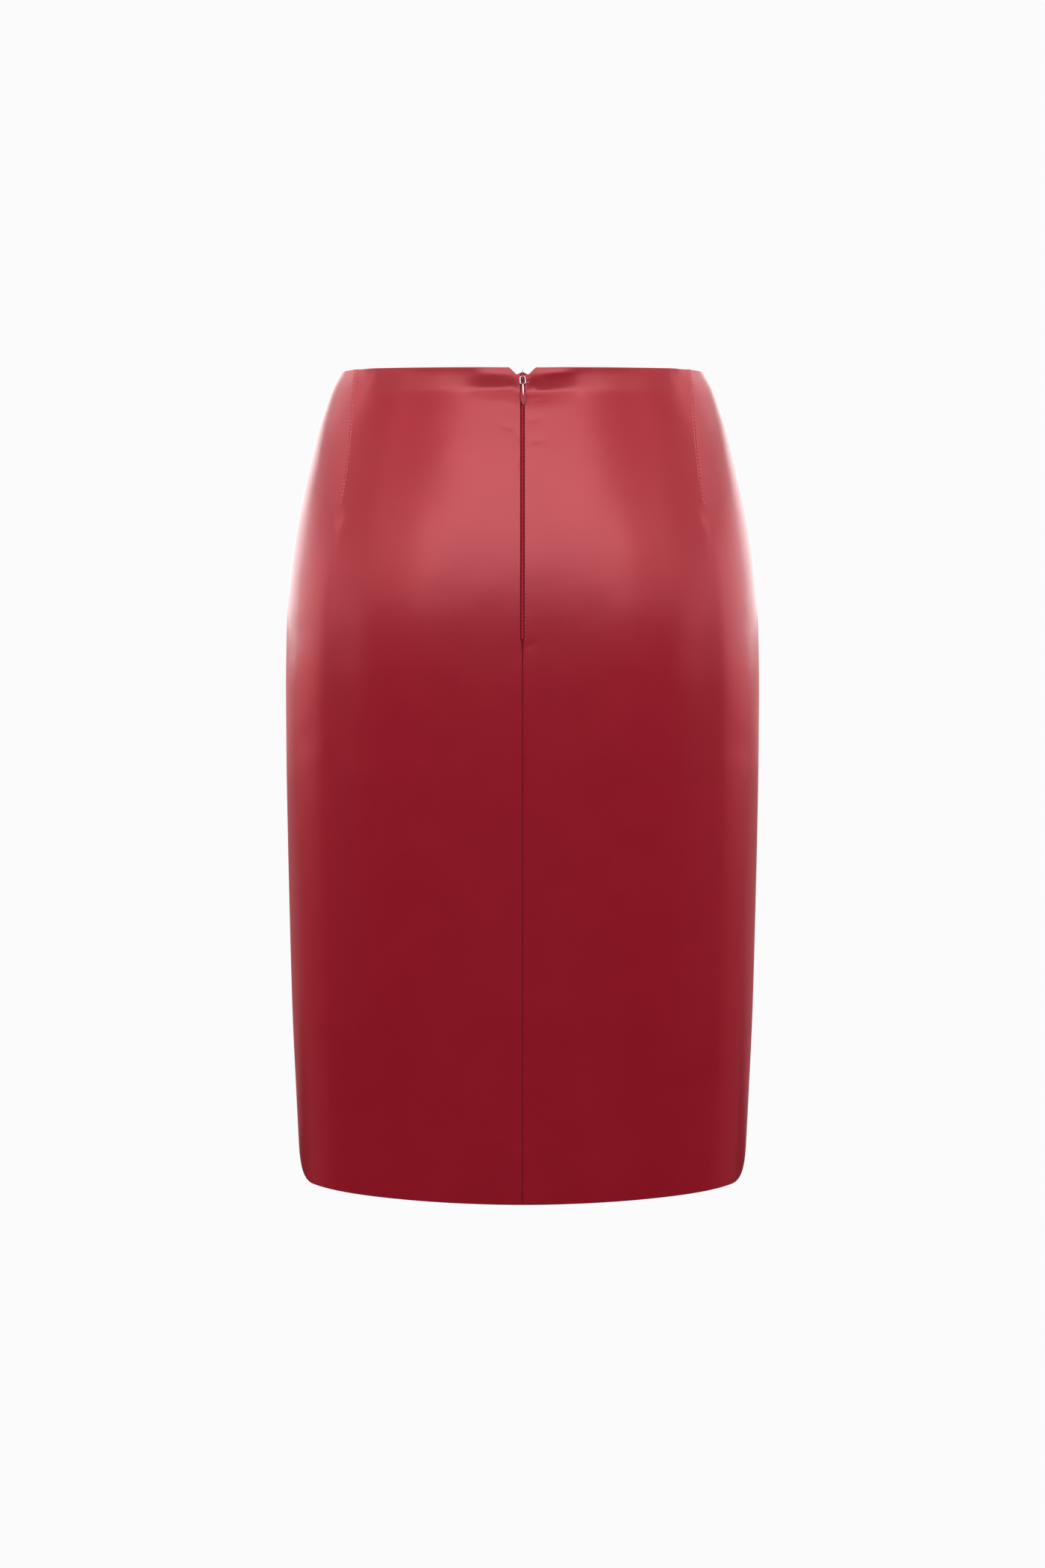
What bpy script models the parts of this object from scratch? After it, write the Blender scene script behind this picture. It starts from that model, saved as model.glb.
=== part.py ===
"""A knee-length leather pencil skirt, hollow and rounded out as it is worn.

Three leather panels stand edge to edge: a whole front and two back halves, with side seams in
the plane y = 0, a centre back seam, and four waist darts. An invisible zip closes the top of
the centre back seam, and its pull swings on the slider. Metres, +Z up, the waist edge at
z = 0, the skirt's front towards -Y and the zip towards +Y. Below, drop is the distance down
from the waist edge, and arc is the distance along a ring from the centre front or back.
"""

import math
from collections import namedtuple

import bmesh
import bpy
import numpy as np
from mathutils import Vector

MM = 0.001

# The leather
WALL = 1.2 * MM
SEAM_GAP = 0.3 * MM
HEM_DROP = 602 * MM  # at the centre lines
HEM_RISE = 3.5 * MM  # how much higher the hem is near the side seams
HEM_CORNER = 52 * MM  # radius of each panel's rounded corner at the side seams

# The rings that shape the skirt. Depths run from the side seams' plane to the centre lines.
Ring = namedtuple("Ring", "drop half_width back_depth front_depth squareness")
RINGS = (
    Ring(0.000, 0.1334, 0.0910, 0.0955, 0.020),
    Ring(0.011, 0.1393, 0.0940, 0.0985, 0.020),
    Ring(0.034, 0.1478, 0.1003, 0.1035, 0.022),
    Ring(0.078, 0.1585, 0.1115, 0.1095, 0.026),
    Ring(0.123, 0.1672, 0.1200, 0.1125, 0.030),
    Ring(0.167, 0.1729, 0.1250, 0.1140, 0.032),
    Ring(0.212, 0.1753, 0.1270, 0.1140, 0.034),
    Ring(0.278, 0.1758, 0.1262, 0.1130, 0.035),
    Ring(0.345, 0.1750, 0.1235, 0.1122, 0.036),
    Ring(0.412, 0.1737, 0.1208, 0.1118, 0.036),
    Ring(0.478, 0.1721, 0.1185, 0.1118, 0.034),
    Ring(0.545, 0.1693, 0.1170, 0.1120, 0.028),
    Ring(0.602, 0.1667, 0.1165, 0.1125, 0.024),
)
QUARTER_STEPS = 160  # straight steps along a quarter ring, from which its length is taken

# The darts: arcs of the sewn line at the waist, at its point and, for the columns, at the hem
Dart = namedtuple("Dart", "length waist_arc point_arc hem_arc bow")
DARTS = {
    "back": Dart(101 * MM, 134.0 * MM, 139.0 * MM, 148 * MM, 4.2 * MM),
    "front": Dart(92 * MM, 134.0 * MM, 141.0 * MM, 150 * MM, 3.0 * MM),
}
DART_DEPTH = 0.9 * MM  # how far the sewn line sinks
DART_SPREAD = 7.0 * MM  # how far from the line the leather is drawn in
BREAK_DEPTH = 0.8 * MM  # the soft hollow that runs on down from each dart's point
BREAK_SPREAD = 16.0 * MM
BREAK_LENGTH = 140 * MM

# The zip opening at the centre back
ZIP_DROP = 198 * MM  # where the opening ends
ZIP_HALF_GAP = 1.5 * MM
ZIP_TAPER = 9.0 * MM
NOTCH_DEPTH = 4.8 * MM  # the waist edge's mitred corners beside the zip
NOTCH_FLAT = 4.4 * MM
NOTCH_TOP = 9.5 * MM
TAPE_HALF_WIDTH = 12.0 * MM
TAPE_WALL = 0.6 * MM
TAPE_TOP = 3.0 * MM  # drop of the tapes' ends at the centre, from where they slope away
TAPE_TOP_SLOPE = 0.45
TAPE_END = 228 * MM
TAPE_SPREAD = 1.3 * MM  # half the gap between the tapes round the slider's stem
TAPE_CLOSING = 5.0 * MM  # length below the stem over which they come together
CHAIN_HALF_WIDTH = 1.1 * MM
CHAIN_RECESS = 0.35 * MM  # from the leather's face to the chain's ridge
CHAIN_SLOPE = 0.2 * MM
CHAIN_WALL = 0.6 * MM

# The slider and its pull. Their frame is at the pivot: x across, y up the leather, z out of it
PIVOT_DROP = 6.7 * MM
PIVOT_HEIGHT = 1.35 * MM
STEM_WIDTH = 1.8 * MM
STEM_TOP = 1.4 * MM
STEM_END = -6.2 * MM
INNER_SIZE = (5.4 * MM, 8.4 * MM, 1.0 * MM)
INNER_CLEAR = 0.4 * MM
EDGE_ROUND = 0.25 * MM
BRIDGE_HALF_WIDTH = 0.5 * MM
BRIDGE_PROFILE = (  # distances down from the pivot and out from it
    (-1.35 * MM, -1.20 * MM),
    (-1.25 * MM, 0.35 * MM),
    (-0.85 * MM, 0.95 * MM),
    (0.0 * MM, 1.15 * MM),
    (2.4 * MM, 1.00 * MM),
    (3.6 * MM, 0.45 * MM),
    (4.3 * MM, -0.50 * MM),
    (4.5 * MM, -1.20 * MM),
)
BRIDGE_HOLE = 0.68 * MM
LOOP_WIRE = 0.36 * MM
LOOP_HALF_WIDTH = 1.8 * MM
LOOP_LENGTH = 5.6 * MM
LOOP_FOOT = 0.6 * MM
ARCH_STEPS = 12
TAB_START = 5.3 * MM
TAB_END = 21.6 * MM
TAB_THICKNESS = 0.9 * MM
TAB_HALF_WIDTHS = ((0.0, 0.8 * MM), (0.25, 1.5 * MM), (0.55, 2.3 * MM), (0.75, 2.15 * MM), (0.93, 1.3 * MM))
TAB_STEPS = 14
PULL_LEAN = math.radians(1.7)  # the pull leans in until it nearly rests on the leather
PULL_TILT = math.radians(2.5)  # and hangs a little aslant

# The panels' grids
COLUMNS_NEAR_DART = (-11 * MM, -4 * MM, 0.0, 4 * MM, 11 * MM)
MIDDLE_COLUMNS = 5
CORNER_COLUMNS = 6
WAIST_BAND = 10 * MM  # drop of the first level row
CORNER_BAND = 530 * MM  # drop of the last level row
ROWS_BESIDE_ZIP = 10
ROWS_BELOW_ZIP = 17
ROWS_IN_CORNER = 5
ROWS = 1 + ROWS_BESIDE_ZIP + ROWS_BELOW_ZIP + ROWS_IN_CORNER

# Colour, roughness and metallic value
MATERIALS = {
    "leather": ((0.33, 0.012, 0.025, 1), 0.38, 0.0),
    "zip_tape": ((0.22, 0.012, 0.022, 1), 0.85, 0.0),
    "zip_chain": ((0.25, 0.015, 0.026, 1), 0.50, 0.0),
    "slider_enamel": ((0.30, 0.020, 0.035, 1), 0.25, 0.0),
    "pull_enamel": ((0.36, 0.030, 0.050, 1), 0.22, 0.0),
}


# ---------------------------------------------------------------- the skirt's surface


def ring_value(drop, column):
    """One column of RINGS at any drop, on a smooth curve through the table's rows."""
    drops = np.array([ring.drop for ring in RINGS])
    values = np.array([getattr(ring, column) for ring in RINGS])
    slopes = np.gradient(values, drops)
    row = int(np.clip(np.searchsorted(drops, drop) - 1, 0, len(drops) - 2))
    step = drops[row + 1] - drops[row]
    t = (drop - drops[row]) / step
    return (
        (2 * t**3 - 3 * t**2 + 1) * values[row]
        + (t**3 - 2 * t**2 + t) * step * slopes[row]
        + (3 * t**2 - 2 * t**3) * values[row + 1]
        + (t**3 - t**2) * step * slopes[row + 1]
    )


def quarter_ring(half, drop):
    """Arcs and points of a quarter ring, from the centre line to the side seam."""
    turn = np.linspace(0, math.pi / 2, QUARTER_STEPS + 1)
    square = ring_value(drop, "squareness")
    depth = ring_value(drop, half + "_depth") / (1 - square)
    width = ring_value(drop, "half_width") / (1 - square)
    x = width * (np.sin(turn) + square * np.sin(3 * turn))
    y = depth * (np.cos(turn) - square * np.cos(3 * turn))
    arcs = np.concatenate([[0], np.cumsum(np.hypot(np.diff(x), np.diff(y)))])
    return arcs, x, y


def quarter_length(half, drop):
    return quarter_ring(half, drop)[0][-1]


def bare_point(half, arc, drop):
    """The point at this arc on the ring; a negative arc is towards -X."""
    arcs, x, y = quarter_ring(half, drop)
    across = math.copysign(np.interp(abs(arc), arcs, x), arc)
    along = np.interp(abs(arc), arcs, y)
    return Vector((across, along if half == "back" else -along, -drop))


def outward(half, arc, drop):
    """Unit normal of the skirt's surface, pointing away from the wearer."""
    reach = 1.0 * MM
    across = bare_point(half, arc + reach, drop) - bare_point(half, arc - reach, drop)
    down = bare_point(half, arc, drop + reach) - bare_point(half, arc, drop - reach)
    normal = across.cross(down).normalized()
    return normal if half == "back" else -normal


def shell_point(half, arc, drop, inset=0.0):
    return bare_point(half, arc, drop) - outward(half, arc, drop) * inset


def ease(share):
    """A smooth step from 0 to 1."""
    t = min(max(share, 0.0), 1.0)
    return t * t * (3 - 2 * t)


# ---------------------------------------------------------------- darts and edges


def dart_arc(half, drop):
    """Arc of the dart's line at this drop, and below its point of the hollow's line."""
    dart = DARTS[half]
    ends = (dart.waist_arc, dart.point_arc, dart.hem_arc)
    straight = float(np.interp(drop, (0.0, dart.length, HEM_DROP), ends))
    share = min(drop / dart.length, 1.0)
    return straight - dart.bow * 4 * share * (1 - share)


def dart_inset(half, arc, drop):
    """How far the dart and the hollow below it draw the leather in at this place."""
    away = abs(abs(arc) - dart_arc(half, drop))
    length = DARTS[half].length
    sewn = DART_DEPTH * ease((length - drop) / (0.3 * length))
    hollow = BREAK_DEPTH * ease(drop / length) * ease((length + BREAK_LENGTH - drop) / BREAK_LENGTH)
    return sewn * math.exp(-away / DART_SPREAD) + hollow * math.exp(-((away / BREAK_SPREAD) ** 2))


def zip_edge(drop):
    """Half the gap between the two back panels."""
    closing = ease((drop - ZIP_DROP + ZIP_TAPER) / ZIP_TAPER)
    return ZIP_HALF_GAP + (SEAM_GAP / 2 - ZIP_HALF_GAP) * closing


def waist_edge(half, arc):
    """Drop of the waist edge, which is level but for the mitred corners beside the zip."""
    if half == "front":
        return 0.0
    return float(np.interp(abs(arc), (NOTCH_FLAT, NOTCH_TOP), (NOTCH_DEPTH, 0.0)))


def hem_edge(half, arc):
    """Drop of the hem, with a quarter circle for the corner at the side seam."""
    side = quarter_length(half, HEM_DROP)
    rise = HEM_RISE * ease(abs(arc) / (side - HEM_CORNER))
    short = max(HEM_CORNER - max(side - abs(arc), 0.0), 0.0)
    return HEM_DROP - rise - HEM_CORNER + math.sqrt(HEM_CORNER**2 - short**2)


# ---------------------------------------------------------------- modelling helpers


def clear_scene():
    for obj in list(bpy.data.objects):
        bpy.data.objects.remove(obj)


def new_collection(name):
    made = bpy.data.collections.new(name)
    bpy.context.scene.collection.children.link(made)
    return made


def finish(name, colour, roughness, metallic):
    made = bpy.data.materials.new(name)
    made.use_nodes = True
    shader = made.node_tree.nodes["Principled BSDF"]
    shader.inputs["Base Color"].default_value = colour
    shader.inputs["Roughness"].default_value = roughness
    shader.inputs["Metallic"].default_value = metallic
    made.diffuse_color = colour
    return made


def put(name, mesh, collection, material=None):
    obj = bpy.data.objects.new(name, mesh)
    collection.objects.link(obj)
    if material:
        mesh.materials.append(material)
    return obj


def sheet(name, place, columns, rows, wall, collection, material):
    """A grid laid on the skirt's surface by place(column, row), with its thickness inwards."""
    bm = bmesh.new()
    bmesh.ops.create_grid(bm, x_segments=columns - 1, y_segments=rows - 1, size=1)
    for vert in bm.verts:
        column = round((vert.co.x + 1) / 2 * (columns - 1))
        row = round((1 - vert.co.y) / 2 * (rows - 1))
        vert.co = place(column, row)
    bmesh.ops.recalc_face_normals(bm, faces=bm.faces)
    middle = bm.faces[:][len(bm.faces) // 2]
    if middle.normal.dot(middle.calc_center_median() * Vector((1, 1, 0))) < 0:
        bmesh.ops.reverse_faces(bm, faces=bm.faces)
    mesh = bpy.data.meshes.new(name)
    bm.to_mesh(mesh)
    bm.free()
    mesh.shade_smooth()
    obj = put(name, mesh, collection, material)
    solid = obj.modifiers.new("wall", "SOLIDIFY")
    solid.thickness = wall
    solid.offset = -1
    solid.use_even_offset = True
    return obj


def box(name, size, centre, collection, bevel=0.0):
    bm = bmesh.new()
    bmesh.ops.create_cube(bm, size=1)
    bmesh.ops.scale(bm, vec=size, verts=bm.verts)
    bmesh.ops.translate(bm, vec=centre, verts=bm.verts)
    if bevel:
        bmesh.ops.bevel(bm, geom=bm.edges, offset=bevel, segments=2, profile=0.5, affect="EDGES")
    mesh = bpy.data.meshes.new(name)
    bm.to_mesh(mesh)
    bm.free()
    return put(name, mesh, collection)


def curve_mesh(name, outlines, collection, depth=0.0, extrude=0.0):
    """A wire along closed outlines or, with an extrusion, the plate they bound, as one mesh."""
    curve = bpy.data.curves.new(name, "CURVE")
    curve.dimensions = "2D" if extrude else "3D"
    if extrude:
        curve.fill_mode = "BOTH"
    curve.extrude = extrude
    curve.bevel_depth = depth
    curve.bevel_resolution = 2
    for outline in outlines:
        spline = curve.splines.new("POLY")
        spline.points.add(len(outline) - 1)
        for point, place in zip(spline.points, outline):
            point.co = (*place, 0, 1)
        spline.use_cyclic_u = True
    guide = bpy.data.objects.new(name + "_guide", curve)
    collection.objects.link(guide)
    bpy.context.view_layer.update()
    evaluated = guide.evaluated_get(bpy.context.evaluated_depsgraph_get())
    mesh = bpy.data.meshes.new_from_object(evaluated)
    mesh.name = name
    bpy.data.objects.remove(guide)
    bm = bmesh.new()
    bm.from_mesh(mesh)
    bmesh.ops.remove_doubles(bm, verts=bm.verts, dist=0.01 * MM)
    bmesh.ops.recalc_face_normals(bm, faces=bm.faces)
    bm.to_mesh(mesh)
    bm.free()
    return mesh


def join(obj, others, parent):
    """Unite obj with helpers that share its frame; the helpers stay as hidden wires."""
    obj.parent = parent
    for other in others:
        other.hide_render = True
        other.display_type = "WIRE"
        other.parent = parent
        step = obj.modifiers.new("with_" + other.name, "BOOLEAN")
        step.operation = "UNION"
        step.object = other


# ---------------------------------------------------------------- the leather panels


def column_arcs(half, drop):
    """Where the columns of half a panel cross this ring, from the centre line to the seam."""
    dart = dart_arc(half, drop)
    side = quarter_length(half, drop) - SEAM_GAP / 2
    near_dart = [dart + step for step in COLUMNS_NEAR_DART]
    centre = [zip_edge(drop), NOTCH_FLAT, NOTCH_TOP] if half == "back" else [0.0]
    middle = np.linspace(centre[-1], near_dart[0], MIDDLE_COLUMNS + 2)[1:-1]
    beyond = quarter_length(half, HEM_DROP) - dart_arc(half, HEM_DROP) - COLUMNS_NEAR_DART[-1]
    turns = np.linspace(math.pi / 2, 0, CORNER_COLUMNS)
    shares = 1 - HEM_CORNER * (1 - np.cos(turns)) / beyond
    outer = near_dart[-1] + (side - near_dart[-1]) * shares
    return [*centre, *middle, *near_dart, *outer]


def row_drops(top, hem):
    """Drops of a column's rows: level ones, and slanting bands at the waist and the hem."""
    beside_zip = np.linspace(WAIST_BAND, ZIP_DROP - ZIP_TAPER, ROWS_BESIDE_ZIP)
    below_zip = np.linspace(ZIP_DROP, CORNER_BAND, ROWS_BELOW_ZIP)
    corner = np.linspace(CORNER_BAND, hem, ROWS_IN_CORNER + 1)[1:]
    return [top, *beside_zip, *below_zip, *corner]


def panel(name, half, sides, collection, material):
    """A panel of leather. sides is (-1, 1) for one cut whole across the centre line."""
    waist_arcs = column_arcs(half, 0.0)
    hem_arcs = column_arcs(half, HEM_DROP)
    drops = [row_drops(waist_edge(half, a), hem_edge(half, b)) for a, b in zip(waist_arcs, hem_arcs)]
    keys = [(sides[-1], index) for index in range(len(drops))]
    if len(sides) == 2:
        keys = [(sides[0], index) for index in range(len(drops) - 1, 0, -1)] + keys

    def place(column, row):
        side, index = keys[column]
        drop = drops[index][row]
        arc = side * column_arcs(half, drop)[index]
        return shell_point(half, arc, drop, dart_inset(half, arc, drop))

    return sheet(name, place, len(keys), ROWS, WALL, collection, material)


# ---------------------------------------------------------------- the zip


def zip_tape(name, side, collection, material):
    """One woven tape behind a back panel's edge, parted from the other round the slider."""
    columns = 4
    parted = (PIVOT_DROP - STEM_TOP, PIVOT_DROP - STEM_END)
    closed = np.linspace(parted[1] + TAPE_CLOSING, TAPE_END, ROWS_BESIDE_ZIP + 2)

    def place(column, row):
        inner = TAPE_SPREAD if row in (1, 2) else SEAM_GAP / 2
        arc = inner + (TAPE_HALF_WIDTH - inner) * column / (columns - 1)
        top = min(TAPE_TOP + TAPE_TOP_SLOPE * arc, NOTCH_DEPTH)
        drop = [top, *parted, *closed][row]
        return shell_point("back", side * arc, drop, WALL + SEAM_GAP)

    return sheet(name, place, columns, 3 + len(closed), TAPE_WALL, collection, material)


def zip_chain(collection, material):
    """The closed chain, a shallow ridge that fills the gap between the panels."""
    start = PIVOT_DROP - STEM_END + 1.0 * MM
    end = ZIP_DROP - ZIP_TAPER
    rows = ROWS_BESIDE_ZIP + 2

    def place(column, row):
        side = column - 1
        drop = start + (end - start) * row / (rows - 1)
        inset = CHAIN_RECESS + CHAIN_SLOPE * abs(side)
        return shell_point("back", side * CHAIN_HALF_WIDTH, drop, inset)

    return sheet("zip_chain", place, 3, rows, CHAIN_WALL, collection, material)


def pivot_frame(collection):
    """An empty on the pull's hinge, turned so that its z stands out of the leather."""
    normal = outward("back", 0.0, PIVOT_DROP)
    empty = bpy.data.objects.new("pull_pivot", None)
    empty.empty_display_size = 0.01
    empty.location = bare_point("back", 0.0, PIVOT_DROP) + normal * PIVOT_HEIGHT
    lean = math.atan2(normal.z, normal.y)
    empty.rotation_euler = (math.pi / 2 - lean, 0, math.pi)
    collection.objects.link(empty)
    return empty


def zip_slider(pivot, collection, helpers, material):
    """The slider: a plate inside, a stem between the tapes, and a bridge that holds the pull."""
    middle = (STEM_TOP + STEM_END) / 2
    inner_face = -PIVOT_HEIGHT - WALL - SEAM_GAP - TAPE_WALL - INNER_CLEAR
    inner_centre = (0, middle, inner_face - INNER_SIZE[2] / 2)
    slider = box("zip_slider", INNER_SIZE, inner_centre, collection, EDGE_ROUND)
    slider.data.materials.append(material)
    stem_foot = inner_face - INNER_SIZE[2] / 2
    stem_face = BRIDGE_PROFILE[0][1] + EDGE_ROUND
    stem_size = (STEM_WIDTH, STEM_TOP - STEM_END, stem_face - stem_foot)
    stem = box("slider_stem", stem_size, (0, middle, (stem_face + stem_foot) / 2), helpers)
    turns = np.linspace(0, 2 * math.pi, ARCH_STEPS, endpoint=False)
    hole = [(BRIDGE_HOLE * math.cos(turn), BRIDGE_HOLE * math.sin(turn)) for turn in turns]
    bridge_mesh = curve_mesh("slider_bridge", [BRIDGE_PROFILE, hole], helpers, extrude=BRIDGE_HALF_WIDTH)
    for vert in bridge_mesh.vertices:
        down, out, across = vert.co
        vert.co = (across, -down, out)
    bridge_mesh.flip_normals()
    bridge = put("slider_bridge", bridge_mesh, helpers)
    join(slider, (stem, bridge), pivot)
    return slider


def tab_outline():
    """The tab's outline: a long drop, widest past its middle, with a small rounded end."""
    shares, widths = zip(*TAB_HALF_WIDTHS)
    length = TAB_END - TAB_START
    right = []
    for step in range(TAB_STEPS + 1):
        share = shares[-1] * step / TAB_STEPS
        row = min(int(np.searchsorted(shares, share, side="right")) - 1, len(shares) - 2)
        grown = ease((share - shares[row]) / (shares[row + 1] - shares[row]))
        right.append((widths[row] + (widths[row + 1] - widths[row]) * grown, -TAB_START - length * share))
    end_x, end_y = right[-1]
    rounding = [(end_x * 0.6, (end_y - 2 * TAB_END) / 3), (0.0, -TAB_END)]
    return right + rounding + [(-x, y) for x, y in reversed(right + rounding[:1])]


def zip_pull(pivot, collection, helpers, material):
    """The pull: an arched wire loop through the bridge, and a drop-shaped tab below it."""
    turns = np.linspace(0, math.pi, ARCH_STEPS + 1)
    arch = [(LOOP_HALF_WIDTH * math.cos(turn), LOOP_HALF_WIDTH * (math.sin(turn) - 1)) for turn in turns]
    feet = [
        (-LOOP_HALF_WIDTH, -LOOP_LENGTH + LOOP_FOOT),
        (-LOOP_HALF_WIDTH + LOOP_FOOT, -LOOP_LENGTH),
        (LOOP_HALF_WIDTH - LOOP_FOOT, -LOOP_LENGTH),
        (LOOP_HALF_WIDTH, -LOOP_LENGTH + LOOP_FOOT),
    ]
    hang = bpy.data.objects.new("pull_hang", None)
    hang.empty_display_size = 0.005
    hang.parent = pivot
    hang.rotation_euler = (PULL_LEAN, 0, PULL_TILT)
    collection.objects.link(hang)
    pull = put("zip_pull", curve_mesh("zip_pull", [arch + feet], helpers, depth=LOOP_WIRE), collection)
    pull.data.materials.append(material)
    tab_mesh = curve_mesh("pull_tab", [tab_outline()], helpers, extrude=TAB_THICKNESS / 2)
    join(pull, (put("pull_tab", tab_mesh, helpers),), hang)
    return pull


# ---------------------------------------------------------------- assembly


def main():
    clear_scene()
    skirt = new_collection("leather_skirt")
    helpers = new_collection("cutters")
    made = {name: finish(name, *values) for name, values in MATERIALS.items()}
    panel("front", "front", (-1, 1), skirt, made["leather"])
    panel("back_left", "back", (1,), skirt, made["leather"])
    panel("back_right", "back", (-1,), skirt, made["leather"])
    zip_tape("zip_tape_left", 1, skirt, made["zip_tape"])
    zip_tape("zip_tape_right", -1, skirt, made["zip_tape"])
    zip_chain(skirt, made["zip_chain"])
    pivot = pivot_frame(skirt)
    zip_slider(pivot, skirt, helpers, made["slider_enamel"])
    zip_pull(pivot, skirt, helpers, made["pull_enamel"])


main()
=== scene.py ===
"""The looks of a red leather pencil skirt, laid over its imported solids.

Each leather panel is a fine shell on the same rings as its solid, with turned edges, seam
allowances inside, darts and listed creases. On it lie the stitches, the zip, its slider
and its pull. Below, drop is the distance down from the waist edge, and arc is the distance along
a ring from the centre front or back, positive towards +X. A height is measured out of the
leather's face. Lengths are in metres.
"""

import math
from collections import namedtuple

import bpy
import numpy as np
from mathutils import Euler, Matrix, Vector


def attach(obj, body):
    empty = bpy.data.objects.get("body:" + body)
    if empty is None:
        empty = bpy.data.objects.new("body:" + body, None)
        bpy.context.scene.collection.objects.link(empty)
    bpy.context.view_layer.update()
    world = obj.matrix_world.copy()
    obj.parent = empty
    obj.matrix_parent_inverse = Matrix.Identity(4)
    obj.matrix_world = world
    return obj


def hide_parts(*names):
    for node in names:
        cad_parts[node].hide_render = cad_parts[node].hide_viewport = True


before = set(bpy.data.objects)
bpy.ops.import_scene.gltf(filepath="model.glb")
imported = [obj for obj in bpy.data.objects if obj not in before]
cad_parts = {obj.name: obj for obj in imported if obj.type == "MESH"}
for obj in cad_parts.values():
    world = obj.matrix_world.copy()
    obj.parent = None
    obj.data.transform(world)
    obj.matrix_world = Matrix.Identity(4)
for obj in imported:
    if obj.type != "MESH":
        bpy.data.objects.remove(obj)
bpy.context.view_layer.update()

MM = 0.001
scene = bpy.context.scene

# ---- sizes shared with the solids

WALL = 1.2 * MM
HEM_DROP = 602 * MM
HEM_RISE = 3.5 * MM
HEM_CORNER = 52 * MM
CORNER_START = HEM_DROP - HEM_RISE - HEM_CORNER

Ring = namedtuple("Ring", "drop half_width back_depth front_depth squareness")
RINGS = (
    Ring(0.000, 0.1334, 0.0910, 0.0955, 0.020),
    Ring(0.011, 0.1393, 0.0940, 0.0985, 0.020),
    Ring(0.034, 0.1478, 0.1003, 0.1035, 0.022),
    Ring(0.078, 0.1585, 0.1115, 0.1095, 0.026),
    Ring(0.123, 0.1672, 0.1200, 0.1125, 0.030),
    Ring(0.167, 0.1729, 0.1250, 0.1140, 0.032),
    Ring(0.212, 0.1753, 0.1270, 0.1140, 0.034),
    Ring(0.278, 0.1758, 0.1262, 0.1130, 0.035),
    Ring(0.345, 0.1750, 0.1235, 0.1122, 0.036),
    Ring(0.412, 0.1737, 0.1208, 0.1118, 0.036),
    Ring(0.478, 0.1721, 0.1185, 0.1118, 0.034),
    Ring(0.545, 0.1693, 0.1170, 0.1120, 0.028),
    Ring(0.602, 0.1667, 0.1165, 0.1125, 0.024),
)

Dart = namedtuple("Dart", "length waist_arc point_arc hem_arc bow")
DARTS = {
    "back": Dart(101 * MM, 134.0 * MM, 139.0 * MM, 148 * MM, 4.2 * MM),
    "front": Dart(92 * MM, 134.0 * MM, 141.0 * MM, 150 * MM, 3.0 * MM),
}
DART_SIDE_COLUMN = 11 * MM

ZIP_DROP = 198 * MM
ZIP_HALF_GAP = 1.3 * MM
ZIP_TAPER = 4.0 * MM
NOTCH_DEPTH = 4.8 * MM
NOTCH_FLAT = 4.4 * MM
NOTCH_TOP = 9.5 * MM
TAPE_HALF_WIDTH = 12.0 * MM
TAPE_TOP = 3.0 * MM
TAPE_TOP_SLOPE = 0.45
TAPE_END = 228 * MM
TAPE_WALL = 0.6 * MM
TAPE_SHUT = 0.03 * MM
TAPE_SPREAD = 1.3 * MM  # half the gap between the tapes round the slider's stem
TAPE_CLOSING = 5.0 * MM
SEAM_GAP = 0.3 * MM
STEM_TOP = 1.4 * MM
STEM_END = -6.2 * MM
PIVOT_DROP = 6.7 * MM
PIVOT_HEIGHT = 1.35 * MM
PULL_LEAN = math.radians(1.7)
PULL_TILT = math.radians(2.5)

# ---- sizes of the finish

SEAM_HALF_GAP = 0.03 * MM  # between two panels' edges where they are sewn together
SEAM_PRESSED = 0.06 * MM  # how far the allowances behind a seam close its gap
TURNED_THICKNESS = 1.9 * MM  # two layers of leather at a turned edge
TURNED_WIDTH = 9 * MM
ALLOWANCE_WIDTH = 12 * MM
FREE_ROUND = 0.90 * MM  # how far from an edge its rounding starts
SEAM_ROUND = 0.32 * MM
SEAM_SHADE_RINGS = 4  # of the border's rings, which make a seam's pressed edge, coloured dark as painted shade
BORDER = (0.0, 0.05 * MM, 0.13 * MM, 0.25 * MM, 0.40 * MM, 0.58 * MM, 0.78 * MM, 1.0 * MM)


# ---- the skirt's surface


def ease(share):
    """A smooth step from 0 to 1."""
    t = np.clip(share, 0.0, 1.0)
    return t * t * (3 - 2 * t)


def on_curve(places, values, at):
    """Values of a table at any places, on a smooth curve through its rows."""
    slopes = np.gradient(values, places)
    row = np.clip(np.searchsorted(places, at) - 1, 0, len(places) - 2)
    step = places[row + 1] - places[row]
    t = (at - places[row]) / step
    return (
        (2 * t**3 - 3 * t**2 + 1) * values[row]
        + (t**3 - 2 * t**2 + t) * step * slopes[row]
        + (3 * t**2 - 2 * t**3) * values[row + 1]
        + (t**3 - t**2) * step * slopes[row + 1]
    )


RING_TABLE = {name: np.array(column) for name, column in zip(Ring._fields, zip(*RINGS))}


def ring_shape(half, drops):
    """Width, depth and squareness of half a ring's ellipse at these drops."""
    columns = (RING_TABLE[name] for name in ("half_width", half + "_depth", "squareness"))
    width, depth, square = (on_curve(RING_TABLE["drop"], column, drops) for column in columns)
    return width / (1 - square), depth / (1 - square), square


def ring_place(width, depth, square, turn):
    """How far across and how far out a ring lies at this turn from its centre line."""
    x = width * (np.sin(turn) + square * np.sin(3 * turn))
    return x, depth * (np.cos(turn) - square * np.cos(3 * turn))


TABLE_DROPS = np.linspace(-6 * MM, HEM_DROP + 6 * MM, 1229)
TABLE_SHARES = np.linspace(0, 1, 241)


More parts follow.
